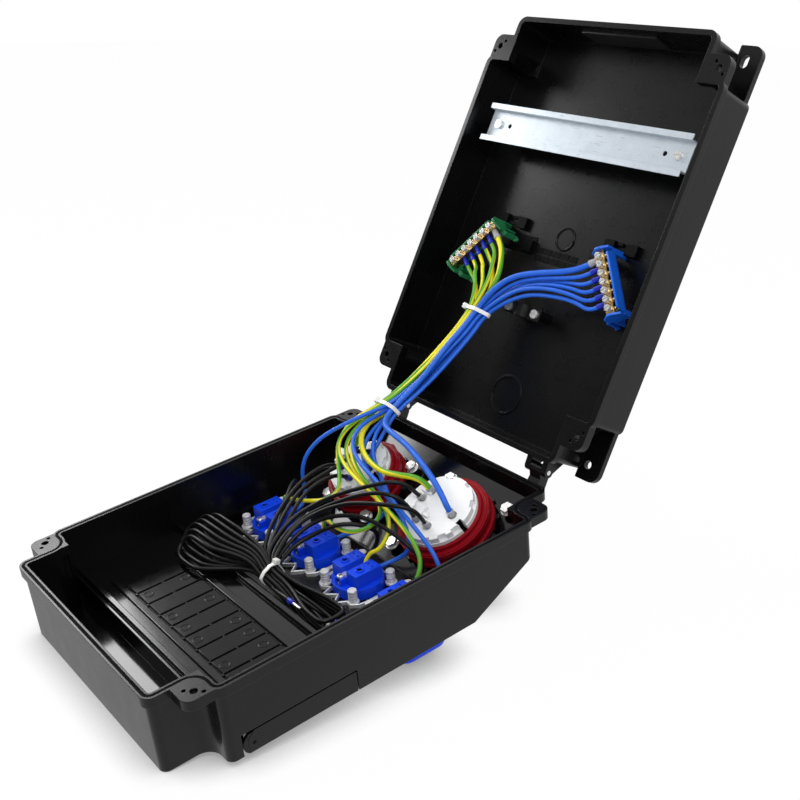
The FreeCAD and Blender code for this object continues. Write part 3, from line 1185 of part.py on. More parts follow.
def tubes(routes, radii, label):
    """One tube per route; prints each tightest bend and how far the volume is from section times length."""
    solids = []
    for i, (route, radius) in enumerate(zip(routes, radii)):
        solid, bends, length = tube(route, radius)
        wanted = math.pi * radius ** 2 * length
        print(f"{label} {i}: length {length:.0f}, tightest bend {min(bends):.1f}, volume off {solid.Volume / wanted - 1:+.4f}")
        solids.append(solid)
    return Part.makeCompound(solids)


def wire_radii():
    return [HEAVY_RADIUS] + [WIRE_RADIUS] * 5


def tie_band(half, width):
    """Flattened band round a bundle that runs along Z, with its locking head."""
    inner = rounded([(-half[0], -half[1]), (half[0], -half[1]), (half[0], half[1]), (-half[0], half[1])],
                    [half[1] * 0.8] * 4)
    out = (half[0] + TIE_SHEET, half[1] + TIE_SHEET)
    outer = rounded([(-out[0], -out[1]), (out[0], -out[1]), (out[0], out[1]), (-out[0], out[1])],
                    [half[1] * 0.8 + TIE_SHEET] * 4)
    band = slab(outer, -width / 2, width / 2).cut(slab(inner, -width / 2 - 1, width / 2 + 1))
    head = box((-2.6, 2.6), (half[1] + TIE_SHEET - 0.4, half[1] + TIE_SHEET + 3.4), (-width / 2 - 0.6, width / 2 + 0.6))
    return fused([band, head])


def harness_ties():
    """The two ties of the harness, square to the run that they hold."""
    stations = [opened(UPPER_TIE)] + [centre for centre, _ in SPAN_STATIONS]
    ties = []
    for at, (a, b) in ((0, (0, 1)), (4, (3, 4))):
        band = moved(tie_band(TIE_HALF, TIE_WIDTH), TIE_OFFSET[0], TIE_OFFSET[1])
        run = V(*stations[b]) - V(*stations[a])
        lean = math.degrees(math.atan2(-run.y, run.z))
        band.rotate(V(0, 0, 0), V(1, 0, 0), lean)
        ties.append(moved(band, *stations[at]))
    return Part.makeCompound(ties)


def phase_hank():
    """Outer form of the folded and tied phase leads."""
    rings = []
    for (x, y, z), half_y, half_z in HANK_SECTIONS:
        ring = Part.Ellipse(V(x, y, z), max(half_y, half_z), min(half_y, half_z)).toShape()
        ring.rotate(V(x, y, z), V(0, 0, 1), 90)
        ring.rotate(V(x, y, z), V(0, 1, 0), 90)
        rings.append(Part.Wire(ring))
    return Part.makeLoft(rings, True, False)


def hank_tie():
    band = tie_band(HANK_TIE_HALF, TIE_WIDTH)
    band.rotate(V(0, 0, 0), V(0, 1, 0), 90)
    band.rotate(V(0, 0, 0), V(1, 0, 0), 90)
    return moved(band, *HANK_TIE)


def lead_ferrules():
    ferrules = []
    for seat, direction in FERRULE_SEATS:
        start = V(*seat)
        ahead = V(*direction).normalize()
        collar = rod(COLLAR_RADIUS, start, start + ahead * 7)
        ferrules.append(collar.fuse(rod(SPADE_RADIUS, start + ahead * 6, start + ahead * 16)))
    return Part.makeCompound(ferrules)


def cover_nodes():
    nodes = {"cover_shell": cover_shell(), "breaker_deck": breaker_deck(), "socket_floor": socket_floor(),
             "slope_panel": slope_panel(), "cover_seal": cover_seal(), "module_blank": module_blank(),
             "breaker_flap": breaker_flap(), "flap_pins": flap_pins()}
    body, frame, lid, seal, pin = socket_body(), socket_frame(), socket_lid(), socket_seal(), lid_pin()
    block = socket_block()
    pins, seals, blocks = [], [], []
    for i, x in enumerate(socket_places(), 1):
        nodes[f"socket_body_{i}"] = moved(body, x, SOCKET_Y)
        nodes[f"socket_frame_{i}"] = moved(frame, x, SOCKET_Y)
        nodes[f"socket_lid_{i}"] = moved(lid, x, SOCKET_Y)
        pins.append(moved(pin, x, SOCKET_Y))
        seals.append(moved(seal, x, SOCKET_Y))
        blocks.append(moved(block, x, SOCKET_Y))
    nodes["socket_blocks"] = Part.makeCompound(blocks)
    nodes["socket_posts"] = socket_posts()
    nodes["socket_contacts"] = socket_contacts()
    nodes["terminal_screws"] = terminal_screws()
    bolts = []
    for name, size in CEE_SIZES.items():
        nodes[f"{name}_housing"] = cee_place(cee_housing(size), size)
        nodes[f"{name}_shroud"] = cee_place(cee_shroud(size), size)
        nodes[f"{name}_insert"] = cee_place(cee_insert(name, size), size)
        nodes[f"{name}_core"] = cee_place(cee_core(size), size)
        nodes[f"{name}_contacts"] = cee_place(cee_contacts(size), size)
        nodes[f"{name}_lid"] = cee_place(cee_lid(size), size)
        pins.append(cee_place(cee_pin(size), size))
        seals.append(cee_place(cee_seal(size), size))
        bolts += [cee_place(b, size) for b in cee_bolts(size)]
    nodes["cee_bolts"] = Part.makeCompound(bolts)
    nodes["lid_pins"] = Part.makeCompound(pins)
    nodes["flange_seals"] = Part.makeCompound(seals)
    return nodes


def wiring_nodes():
    pe = [harness_route(-1, way) for way in range(len(PE_SLOTS))]
    n = [harness_route(1, way) for way in range(len(PE_SLOTS))]
    nodes = {"pe_wires": tubes(pe, wire_radii(), "pe wire"), "n_wires": tubes(n, wire_radii(), "n wire"),
             "harness_ties": harness_ties(), "phase_hank": phase_hank(), "hank_tie": hank_tie(),
             "lead_ferrules": lead_ferrules()}
    leads = phase_routes()
    nodes["phase_leads"] = tubes(leads, [WIRE_RADIUS] * len(leads), "phase lead")
    return nodes


def box_nodes():
    nodes = {"rear_shell": rear_shell(), "hinge_pins": hinge_pins(), "din_rail": din_rail(),
             "cable_clamp": cable_clamp()}
    floor = RAIL_FRONT + RAIL_DEPTH - RAIL_SHEET
    nodes["rail_screws"] = Part.makeCompound([screw(x, RAIL_Y, floor) for x in (-RAIL_SCREW_X, RAIL_SCREW_X)])
    seat = CLAMP_SEAT - CLAMP_SHEET
    nodes["clamp_screws"] = Part.makeCompound([screw(x, CLAMP_Y, seat) for x in (-CLAMP_HALF, CLAMP_HALF)])
    for name, side in (("pe", -1), ("n", 1)):
        nodes[f"{name}_holder"] = bar_place(bar_holder(), side)
        nodes[f"{name}_bar"] = bar_place(terminal_bar(), side)
        nodes[f"{name}_bar_screws"] = bar_place(bar_screws(), side)
        ferrules = [bar_place(f, side) for f in bar_ferrules(True)]
        nodes[f"{name}_ferrules"] = Part.makeCompound(ferrules)
    return nodes


def swing_open(shape):
    shape.rotate(V(0, HINGE_Y, HINGE_Z), V(1, 0, 0), -OPEN_DEG)
    return shape


CORDS = ("pe_wires", "n_wires", "phase_leads", "phase_hank", "hank_tie", "harness_ties", "lead_ferrules")


def build():
    """Every node at rest, standing on z = 0 with the origin under the middle of its box."""
    nodes = cover_nodes()
    nodes.update(wiring_nodes())
    for name, shape in box_nodes().items():
        nodes[name] = swing_open(shape)
    tilt = floor_tilt()
    for shape in nodes.values():
        shape.rotate(V(0, 0, 0), V(1, 0, 0), tilt)
    bounds = FreeCAD.BoundBox()
    for name, shape in nodes.items():
        if name not in CORDS:
            bounds.add(shape.optimalBoundingBox(False, False))
    shift = V(-bounds.Center.x, -bounds.Center.y, -bounds.ZMin)
    for shape in nodes.values():
        shape.translate(shift)
    return nodes, tilt, shift


def main():
    os.makedirs("parts", exist_ok=True)
    nodes, tilt, shift = build()
    print(f"{len(nodes)} nodes, tilt {tilt:.2f}, shift {shift}")
    for name, shape in nodes.items():
        shape.exportStep(f"parts/{name}.step")


if __name__ == "__main__":
    main()
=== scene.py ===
import math

import bmesh
import bpy
from mathutils import Matrix, Vector


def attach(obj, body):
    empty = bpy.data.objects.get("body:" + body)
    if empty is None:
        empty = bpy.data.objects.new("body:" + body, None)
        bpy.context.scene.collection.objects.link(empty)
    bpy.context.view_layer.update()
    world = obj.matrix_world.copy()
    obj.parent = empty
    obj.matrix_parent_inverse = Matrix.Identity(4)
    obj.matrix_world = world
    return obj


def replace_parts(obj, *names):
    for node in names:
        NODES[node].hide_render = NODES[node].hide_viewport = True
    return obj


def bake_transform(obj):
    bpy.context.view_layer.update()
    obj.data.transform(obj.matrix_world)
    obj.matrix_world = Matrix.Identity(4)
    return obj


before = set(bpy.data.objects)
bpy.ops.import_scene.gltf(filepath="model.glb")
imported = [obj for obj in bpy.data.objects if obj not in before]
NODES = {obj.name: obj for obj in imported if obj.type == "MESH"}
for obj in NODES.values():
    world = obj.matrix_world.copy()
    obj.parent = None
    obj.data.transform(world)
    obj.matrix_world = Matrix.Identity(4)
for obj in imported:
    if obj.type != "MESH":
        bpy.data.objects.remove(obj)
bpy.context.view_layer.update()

# Shapes are drawn in millimetres in the cover's frame (rim plane z = 0, +Y towards the hinge, +Z out of
# the open cover) or in the closed rear box, and these matrices put them in the row frame, in metres.
MM = 0.001
TILT = math.radians(6.87581102479103)
SHIFT = Vector((0.0, -99.01436427368928, 84.78960361039927))
HINGE = Vector((0.0, 187.4, 9.4))
OPEN = math.radians(122.66)
SLOPE = math.radians(25.9)
SLOPE_START = 77.0
COVER_DEPTH = 64.0
CEE_ALONG = 53.0
COVER = Matrix.Scale(MM, 4) @ Matrix.Translation(SHIFT) @ Matrix.Rotation(TILT, 4, "X")
# For shapes that are already in the row frame
IN_PLACE = Matrix.Identity(4)
# Turns a shape drawn in plan so that it stands across the board
ACROSS = Matrix(((0, 0, 1), (1, 0, 0), (0, 1, 0))).to_4x4()
BOX = COVER @ Matrix.Translation(HINGE) @ Matrix.Rotation(-OPEN, 4, "X") @ Matrix.Translation(-HINGE)


def on_slope(x):
    """Frame of a five-pole socket: panel face at z = 0, +Z into the cover."""
    place = (x, SLOPE_START + CEE_ALONG * math.cos(SLOPE), -COVER_DEPTH + CEE_ALONG * math.sin(SLOPE))
    return COVER @ Matrix.Translation(place) @ Matrix.Rotation(SLOPE, 4, "X")


# Materials

NOISE_ROUGHNESS = 0.55
RELIEF_DEPTH = 0.0002
BEVEL_SAMPLES = 6
METAL_EDGE = 0.0003
FINE_RELIEF = 0.05
# Scales of the noise in plastic, metal and wire insulation
PATCHES, SMEARS, GRAIN = 22, 60, 1900
TARNISH, DRAWING = 90, 700
WIRE_TONE, WIRE_WAX, WIRE_GRAIN = 160, 320, 1400
STRIPE_STOPS = ((0.26, 0), (0.28, 1), (0.72, 1), (0.74, 0))


def feed(tree, socket, value):
    """Links a socket to another node's output, or sets it to a value."""
    if isinstance(value, bpy.types.NodeSocket):
        tree.links.new(value, socket)
    else:
        socket.default_value = value


def add_node(tree, kind, **inputs):
    """New shader node with some of its inputs fed, by their names."""
    node = tree.nodes.new("ShaderNode" + kind)
    for key, value in inputs.items():
        feed(tree, node.inputs[key.replace("_", " ")], value)
    return node


def new_material(name):
    """Material with an output only, its node tree and the socket of its surface."""
    mat = bpy.data.materials.new(name)
    mat.use_nodes = True
    tree = mat.node_tree
    tree.nodes.clear()
    return mat, tree, add_node(tree, "OutputMaterial").inputs["Surface"]


def noise(tree, vector, scale, detail=3.0):
    node = add_node(tree, "TexNoise", Scale=scale, Detail=detail, Roughness=NOISE_ROUGHNESS, Vector=vector)
    return node.outputs["Fac"]


def spread(tree, value, low, high, from_low=0.3, from_high=0.7):
    node = add_node(tree, "MapRange", Value=value, From_Min=from_low, From_Max=from_high, To_Min=low, To_Max=high)
    return node.outputs["Result"]


def blend_colour(tree, factor, first, second):
    node = add_node(tree, "Mix")
    node.data_type = "RGBA"
    sockets = [s for s in node.inputs if s.type == "RGBA"]
    for socket, colour in zip(sockets, (first, second)):
        feed(tree, socket, (*colour, 1.0) if isinstance(colour, tuple) else colour)
    feed(tree, next(s for s in node.inputs if s.type == "VALUE"), factor)
    return next(s for s in node.outputs if s.type == "RGBA")


def stretched(tree, vector, scale):
    return add_node(tree, "Mapping", Scale=scale, Vector=vector).outputs["Vector"]


def principled(tree, surface, height, relief, edge, **inputs):
    """Shader with a fine relief from a height, over edges softened to the given radius in metres."""
    bump = add_node(tree, "Bump", Strength=relief, Distance=RELIEF_DEPTH, Height=height)
    if edge:
        bevel = add_node(tree, "Bevel", Radius=edge)
        bevel.samples = BEVEL_SAMPLES
        feed(tree, bump.inputs["Normal"], bevel.outputs["Normal"])
    bsdf = add_node(tree, "BsdfPrincipled", Normal=bump.outputs["Normal"], **inputs)
    feed(tree, surface, bsdf.outputs["BSDF"])


def plastic(name, colour, shade, rough, grain, edge=0.0007, gloss=0.5, metallic=0.0, clear=0.0):
    """Moulded plastic: colour that wanders to a shade, patchy gloss, a fine grain and soft edges."""
    mat, tree, surface = new_material(name)
    coords = add_node(tree, "TexCoord").outputs["Object"]
    patches = spread(tree, noise(tree, coords, PATCHES), 0, 1)
    smears = noise(tree, stretched(tree, coords, (1.0, 2.2, 0.7)), SMEARS, 5.0)
    principled(tree, surface, noise(tree, coords, GRAIN, 2.0), grain, edge,
               Base_Color=blend_colour(tree, patches, colour, shade), Roughness=spread(tree, smears, *rough),
               Specular_IOR_Level=gloss, Metallic=metallic, Transmission_Weight=clear)
    return mat


def metal(name, colour, shade, rough, along=(1.0, 1.0, 1.0), metallic=1.0):
    """Plated metal with a drawn grain and a little tarnish; a dull plating is less metallic."""
    mat, tree, surface = new_material(name)
    coords = add_node(tree, "TexCoord").outputs["Object"]
    tarnish = spread(tree, noise(tree, coords, TARNISH, 4.0), 0, 1)
    drawn = noise(tree, stretched(tree, coords, along), DRAWING, 4.0)
    principled(tree, surface, drawn, FINE_RELIEF, METAL_EDGE, Base_Color=blend_colour(tree, tarnish, colour, shade),
               Roughness=spread(tree, drawn, *rough), Metallic=metallic)
    return mat


def sheath(name, colour, shade, rough=(0.34, 0.5), stripe=None, gloss=0.5):
    """Wire insulation: slightly waxy, with a stripe along the wire where it has one."""
    mat, tree, surface = new_material(name)
    texture = add_node(tree, "TexCoord").outputs
    coords = texture["Object"]
    base = blend_colour(tree, spread(tree, noise(tree, coords, WIRE_TONE, 4.0), 0, 1), colour, shade)
    if stripe:
        ramp = add_node(tree, "ValToRGB", Fac=add_node(tree, "SeparateXYZ", Vector=texture["UV"]).outputs["X"])
        stops = ramp.color_ramp.elements
        for stop, place in zip(stops, (0.0, 1.0)):
            stop.position, stop.color = place, (0, 0, 0, 1)
        for place, value in STRIPE_STOPS:
            stops.new(place).color = (value, value, value, 1)
        base = blend_colour(tree, ramp.outputs["Color"], base, stripe)
    principled(tree, surface, noise(tree, coords, WIRE_GRAIN, 2.0), FINE_RELIEF, 0, Base_Color=base,
               Roughness=spread(tree, noise(tree, coords, WIRE_WAX), *rough), Specular_IOR_Level=gloss)
    return mat


BLACK = plastic("black_plastic", (0.0012, 0.0012, 0.0015), (0.0022, 0.0022, 0.0026), (0.10, 0.13), 0.012, gloss=0.36)
SHELL = plastic("black_shell", (0.0014, 0.0014, 0.0017), (0.0024, 0.0024, 0.0028), (0.26, 0.30), 0.03, gloss=0.36)
# Matt black; also laid as painted shade in holes, slots, windows and groove floors
MATT = plastic("black_matt", (0.0008, 0.0008, 0.0009), (0.0016, 0.0016, 0.0018), (0.5, 0.62), 0.05, 0.0004,
               gloss=0.12)
STRIP = plastic("black_strip", (0.0012, 0.0012, 0.0015), (0.0022, 0.0022, 0.0026), (0.13, 0.17), 0.012, gloss=0.19)
# Lighter black for the pad on the end wall: its lighter tone is a painted sheen
PAD_PAINTED_SHEEN = plastic("black_pad_painted_sheen", (0.009, 0.009, 0.0095), (0.012, 0.012, 0.0125), (0.36, 0.44), 0.02, gloss=0.4)
SATIN = plastic("black_satin", (0.003, 0.003, 0.0033), (0.006, 0.006, 0.0065), (0.28, 0.42), 0.06, gloss=0.4)
RUBBER = plastic("seal_rubber", (0.0012, 0.0012, 0.0012), (0.002, 0.002, 0.002), (0.6, 0.8), 0.1, 0.0003, gloss=0.06)
BLUE = plastic("blue_plastic", (0.003, 0.065, 0.86), (0.004, 0.055, 0.74), (0.3, 0.42), 0.03, 0.0005, gloss=0.35)
RED = plastic("red_plastic", (0.28, 0.004, 0.010), (0.22, 0.003, 0.008), (0.26, 0.36), 0.02, 0.0006, gloss=0.1)
WHITE = plastic("white_plastic", (0.86, 0.865, 0.87), (0.80, 0.805, 0.81), (0.32, 0.45), 0.03, 0.0005)
GREEN = plastic("green_plastic", (0.012, 0.15, 0.05), (0.02, 0.22, 0.08), (0.3, 0.42), 0.03, 0.0004)
LIGHT_BLUE = plastic("light_blue_plastic", (0.006, 0.13, 0.74), (0.008, 0.10, 0.6), (0.26, 0.38), 0.03, 0.0004)
FERRULE = plastic("ferrule_plastic", (0.006, 0.02, 0.42), (0.006, 0.016, 0.32), (0.3, 0.42), 0.02, 0.0002)
FERRULE_GREY = plastic("ferrule_grey", (0.36, 0.36, 0.38), (0.30, 0.30, 0.32), (0.34, 0.46), 0.02, 0.0002)
NYLON = plastic("tie_nylon", (0.80, 0.80, 0.78), (0.72, 0.72, 0.70), (0.3, 0.42), 0.02, 0.0003, clear=0.12)
ZINC = metal("zinc_steel", (0.60, 0.66, 0.72), (0.53, 0.585, 0.64), (0.26, 0.4), (0.12, 1.6, 1.6), metallic=0.4)
BRIGHT = metal("bright_steel", (0.88, 0.88, 0.87), (0.78, 0.78, 0.77), (0.18, 0.3), metallic=0.7)
STEEL = metal("spring_steel", (0.82, 0.83, 0.84), (0.72, 0.73, 0.74), (0.26, 0.4), metallic=0.5)
DARK_STEEL = metal("dark_steel", (0.012, 0.012, 0.013), (0.008, 0.008, 0.009), (0.4, 0.55))
CAST = plastic("cast_zinc", (0.76, 0.76, 0.77), (0.66, 0.66, 0.67), (0.3, 0.42), 0.04, 0.0003, metallic=0.2)
BRASS = metal("brass", (0.80, 0.61, 0.30), (0.66, 0.47, 0.20), (0.2, 0.36))
EARTH = sheath("earth_sheath", (0.82, 0.72, 0.006), (0.74, 0.66, 0.01), stripe=(0.10, 0.36, 0.02))
NEUTRAL = sheath("neutral_sheath", (0.012, 0.13, 0.70), (0.012, 0.11, 0.58))
PHASE = sheath("phase_sheath", (0.003, 0.003, 0.003), (0.006, 0.006, 0.006), (0.26, 0.36), gloss=0.28)

FINISHES = {
    BLACK: ["breaker_deck", "slope_panel"],
    SHELL: ["cover_shell", "rear_shell", "socket_floor", "breaker_flap"],
    SATIN: ["cable_clamp"],
    RUBBER: ["cover_seal", "flange_seals"],
    BLUE: ["socket_blocks"] + [f"socket_{part}_{i}" for part in ("body", "lid") for i in range(1, 5)],
    RED: [f"{cee}_{part}" for cee in ("cee32", "cee16") for part in ("housing", "shroud", "lid")],
    WHITE: [f"{cee}_{part}" for cee in ("cee32", "cee16") for part in ("insert", "core")],
    ZINC: ["din_rail"],
    BRIGHT: ["lid_pins", "hinge_pins", "terminal_screws", "cee_bolts", "rail_screws", "clamp_screws",
             "pe_bar_screws", "n_bar_screws"],
    DARK_STEEL: ["flap_pins"],
    BRASS: ["socket_contacts", "cee32_contacts", "cee16_contacts", "pe_bar", "n_bar"],
}
SMOOTH_ANGLE = math.radians(28)
PIECE_ANGLE = math.radians(20)


def coat(obj, material):
    obj.data.materials.clear()
    obj.data.materials.append(material)


def dress(obj, material, body=None, angle=SMOOTH_ANGLE):
    """Gives a piece its finish, and the body it rides on; edges sharper than the angle stay crisp."""
    coat(obj, material)
    if obj.type == "MESH":
        obj.data.polygons.foreach_set("use_smooth", [True] * len(obj.data.polygons))
        obj.data.set_sharp_from_angle(angle=angle)
    if body:
        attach(obj, body)
    return obj


for material, names in FINISHES.items():
    for name in names:
        coat(NODES[name], material)


def link(name, data):
    obj = bpy.data.objects.new(name, data)
    bpy.context.scene.collection.objects.link(obj)
    return obj


# Small shapes, drawn in millimetres

EDGE_STEPS = 2
move = Matrix.Translation


def rotate(degrees, axis="Z"):
    return Matrix.Rotation(math.radians(degrees), 4, axis)


def frame_along(start, ahead):
    """Frame in millimetres at a point of the row frame, its +Z along a direction."""
    return move(start) @ ahead.to_track_quat("Z", "Y").to_matrix().to_4x4() @ Matrix.Scale(MM, 4)


def skin(bm, rings, closed=True):
    for a, b in zip(rings, rings[1:]):
        for i in range(len(a)):
            j = (i + 1) % len(a)
            bm.faces.new((a[i], a[j], b[j], b[i]))
    if closed:
        bm.faces.new(list(reversed(rings[0])))
        bm.faces.new(rings[-1])


def turned(rows, count):
    """Closed solid about Z from (height, radius) rows, or (height, radius in x, radius in y) rows."""
    bm = bmesh.new()
    angles = [2 * math.pi * i / count for i in range(count)]
    skin(bm, [[bm.verts.new((row[1] * math.cos(a), row[-1] * math.sin(a), row[0])) for a in angles] for row in rows])
    return bm


def to_object(name, bm):
    bmesh.ops.recalc_face_normals(bm, faces=bm.faces)
    mesh = bpy.data.meshes.new(name)
    bm.to_mesh(mesh)
    bm.free()
    return link(name, mesh)


def to_piece(name, bm, matrix, material, body="front_cover"):
    """Turns a small shape into a piece, put in its place and dressed."""
    bm.transform(matrix)
    return dress(to_object(name, bm), material, body, PIECE_ANGLE)


def merge(bm, part, place=None):
    """Adds a small shape to a larger one, moved by a matrix where one is given."""
    if place is not None:
        part.transform(place)
    mesh = bpy.data.meshes.new("part")
    part.to_mesh(mesh)
    part.free()
    bm.from_mesh(mesh)
    bpy.data.meshes.remove(mesh)


def rounded_edges(bm, edge):
    bmesh.ops.bevel(bm, geom=bm.edges[:], offset=edge, offset_type="OFFSET", segments=EDGE_STEPS, profile=0.5,
                    affect="EDGES", clamp_overlap=True)
    return bm


def block(x, y, z, edge):
    """Box between limits, with rounded edges."""
    bm = bmesh.new()
    bmesh.ops.create_cube(bm, size=1.0)
    for v in bm.verts:
        v.co = [low + (high - low) * (c + 0.5) for c, (low, high) in zip(v.co, (x, y, z))]
    return rounded_edges(bm, edge)


def prism(points, low, high, edge):
    """Upright prism of a plan outline, with rounded edges."""
    bm = bmesh.new()
    skin(bm, [[bm.verts.new((x, y, z)) for x, y in points] for z in (low, high)])
    return rounded_edges(bm, edge)


def lathe(outline, count, reach=None):
    """Ring: a closed (radius, height) outline turned about Z, its radius changed by reach(angle) outside."""
    bm = bmesh.new()
    loops = []
    mean = sum(r for r, _ in outline) / len(outline)
    for i in range(count):
        a = 2 * math.pi * i / count
        out = reach(a) if reach else 0.0
        reached = [(r + out if r > mean else r, z) for r, z in outline]
        loops.append([bm.verts.new((r * math.cos(a), r * math.sin(a), z)) for r, z in reached])
    skin(bm, loops + loops[:1], closed=False)
    return bm


def strip(points, half, low, high, soft=0.3):
    """Closed band on edge along a plan line, mitred at its corners and with soft edges."""
    bm = bmesh.new()
    rings = []
    count = len(points)
    section = ((-half, low), (-half, high - soft), (-half + soft, high), (half - soft, high), (half, high - soft),
               (half, low))
    for i, p in enumerate(points):
        p = Vector(p)
        back = (p - Vector(points[i - 1])).normalized()
        ahead = (Vector(points[(i + 1) % count]) - p).normalized()
        normals = Vector((back.y, -back.x)), Vector((ahead.y, -ahead.x))
        mitre = (normals[0] + normals[1]).normalized()
        mitre /= max(mitre.dot(normals[0]), 0.45)
        rings.append([bm.verts.new((*(p + mitre * u), z)) for u, z in section])
    skin(bm, rings + rings[:1], closed=False)
    return bm


def hull(points):
    """Convex hull of plan points, anticlockwise."""
    points = sorted(set((round(x, 4), round(y, 4)) for x, y in points))
    halves = []
    for run in (points, points[::-1]):
        line = []
        for p in run:
            while len(line) > 1 and ((line[-1][0] - line[-2][0]) * (p[1] - line[-2][1])
                                     - (line[-1][1] - line[-2][1]) * (p[0] - line[-2][0])) <= 0:
                line.pop()
            line.append(p)
        halves += line[:-1]
    return halves


# Wiring: the routes' points, in millimetres, as the solids have them

WIRE = 1.8
HEAVY = 2.5
# Metres of wire to one unit of its texture
UV_LENGTH = 0.02
BAR_CENTRE = (81.0, 28.0)
BAR_LEAN = math.radians(37.0)
BAR_PITCH = 8.0
WIRE_LEVEL = 19.0
FERRULE_END = 13.05
FERRULE_NEXT = 22.05
UPPER_TIE = (-39.0, 85.0, 10.0)
PE_SLOTS = ((-2.6, 0.0), (-2.1, 4.7), (-2.1, -4.7), (-7.1, 0.0), (-6.2, 4.2), (-6.2, -4.2))
N_SLOTS = ((2.5, 4.6), (2.0, 0.0), (2.0, -4.2), (6.4, -2.4), (6.9, 2.3), (10.8, -0.2))
N_CHANGES = {0: ((3.2, 6.6), (4.2, 8.4), (8.0, 6.6), (7.2, 2.5)),
             4: ((6.1, 2.7), (5.0, 3.3), (3.2, 3.6), (2.1, 4.3))}
SPAN = (((-41.5, 229.0, 81.0), (-0.77, 0.63)), ((-45.0, 213.0, 68.0), (-0.70, 0.71)),
        ((-52.0, 183.0, 45.0), (-0.62, 0.78)), ((-60.0, 151.0, 27.0), (-0.52, 0.85)))
PE_UPPER = (
    ((-38, 33, 14), (-31, 50, 11.5), (-34, 68, 10.5)),
    ((-44, 37, 11), (-37, 53, 7), (-37, 69, 5.6)),
    ((-49, 42, 18), (-40.5, 56, 16.5), (-39, 70, 15.2)),
    ((-55, 47, 13), (-46, 59, 11), (-44, 72, 10.2)),
    ((-60.5, 52, 10.5), (-51, 62, 7.2), (-46.5, 73, 6)),
    ((-64.5, 58, 17.2), (-55.5, 66, 15.6), (-49.5, 75, 14.6)),
)
N_UPPER = (
    ((36, 30, 12.5), (10, 38, 8), (-11, 47, 6), (-26, 63, 5)),
    ((39, 34.5, 14), (15, 40.5, 11.5), (-7, 49.5, 10.2), (-23, 64.5, 9.8)),
    ((44, 36.5, 17.5), (20, 41.5, 16), (-3, 48.5, 14.8), (-20, 63.5, 14.3)),
    ((49, 40.5, 14.5), (25, 43.5, 12.6), (2, 50.5, 12), (-15.5, 63.5, 12)),
    ((53.5, 45.5, 11.3), (30, 47, 8.6), (7, 52.5, 7.8), (-11.5, 63.5, 7.6)),
    ((58.5, 50, 15), (35, 51.5, 12.8), (12, 56, 11), (-8, 66.5, 10.4)),
)
PE_LOWER = (
    ((-61, 121, 18), (-40, 104, 9.5), (-8, 98, 6), (14, 103.5, 8), (24, 109, 8.5), (31.5, 113.5, 5.5),
     (35.8, 116.5, -1), (36.07, 119.09, -5.65)),
    ((-72, 122, 22), (-69, 99, 12), (-42, 84, 5.5), (6, 77, 1), (50, 71, -4), (76, 67, -11),
     (89, 63, -24), (91.5, 52, -36.5), (91.5, 48, -47.2)),
    ((-66, 124, 15), (-56, 103, 10), (-27, 88, 5), (10, 81.5, -3), (31, 76, -8), (44, 67, -16),
     (43, 57, -29), (30.5, 52, -36.5), (30.5, 48, -47.2)),
    ((-70, 124, 18), (-63, 102, 8), (-38, 90, 0), (-4, 86, -6), (16, 80, -9), (28, 70, -12),
     (28, 56, -16), (14, 48, -22), (-3, 46.5, -24), (-16, 48.5, -24), (-26.5, 51, -27.5), (-30.5, 51.2, -37.3),
     (-30.5, 48, -47.2)),
    ((-77, 124, 21), (-75, 104, 8), (-57, 90, 0), (-39, 79, -5), (-27, 68, -9), (-29, 55, -12.5),
     (-43, 48, -16), (-60, 47.5, -22), (-76, 47, -27), (-87, 50, -30), (-91.5, 51, -39), (-91.5, 48, -47.2)),
    ((-69.5, 135, 14.5), (-70.2, 125, 8.5), (-70.4, 119.5, 1), (-70.42, 118.49, -8.17)),
)
N_LOWER = (
    ((-43, 132, 25), (-28, 128, 24), (0, 125, 22), (33, 117, 16), (52, 111.5, 11), (63, 108.5, 5),
     (69.8, 107.6, -2.5), (70.97, 110.68, -9.74)),
    ((-58, 121, 25), (-50, 101, 17), (-26, 90, 12), (8, 85, 7), (40, 79, 1), (66, 76, -7),
     (85, 75, -16), (97, 74, -28), (101, 71, -40.5), (101.5, 61, -46), (101.5, 50.5, -46)),
    ((-56, 125, 14), (-44, 106, 4), (-18, 96, -4), (14, 90, -8), (40, 83, -11), (56, 76, -16.5),
     (60, 73.5, -27), (54, 72.5, -36), (46, 69.3, -43), (40.7, 60.6, -46), (40.5, 50.5, -46)),
    ((-49, 127, 17), (-36, 112, 6), (-14, 103, -3), (7, 96, -11), (17, 86, -16), (16, 75, -21.5),
     (7, 70, -30), (-4, 68.5, -38), (-14, 66, -43.5), (-20, 59.5, -46), (-20.5, 50.5, -46)),
    ((-58, 126, 32), (-68, 108, 25), (-82, 92, 14), (-90, 80, 0), (-92, 74, -14), (-90, 72, -27),
     (-85.5, 70, -38.5), (-81.8, 61, -45.5), (-81.5, 50.5, -46)),
    ((-45.5, 134.5, 15.5), (-43, 122, 6.5), (-41, 111.8, -1.5), (-41.02, 111.41, -11.61)),
)
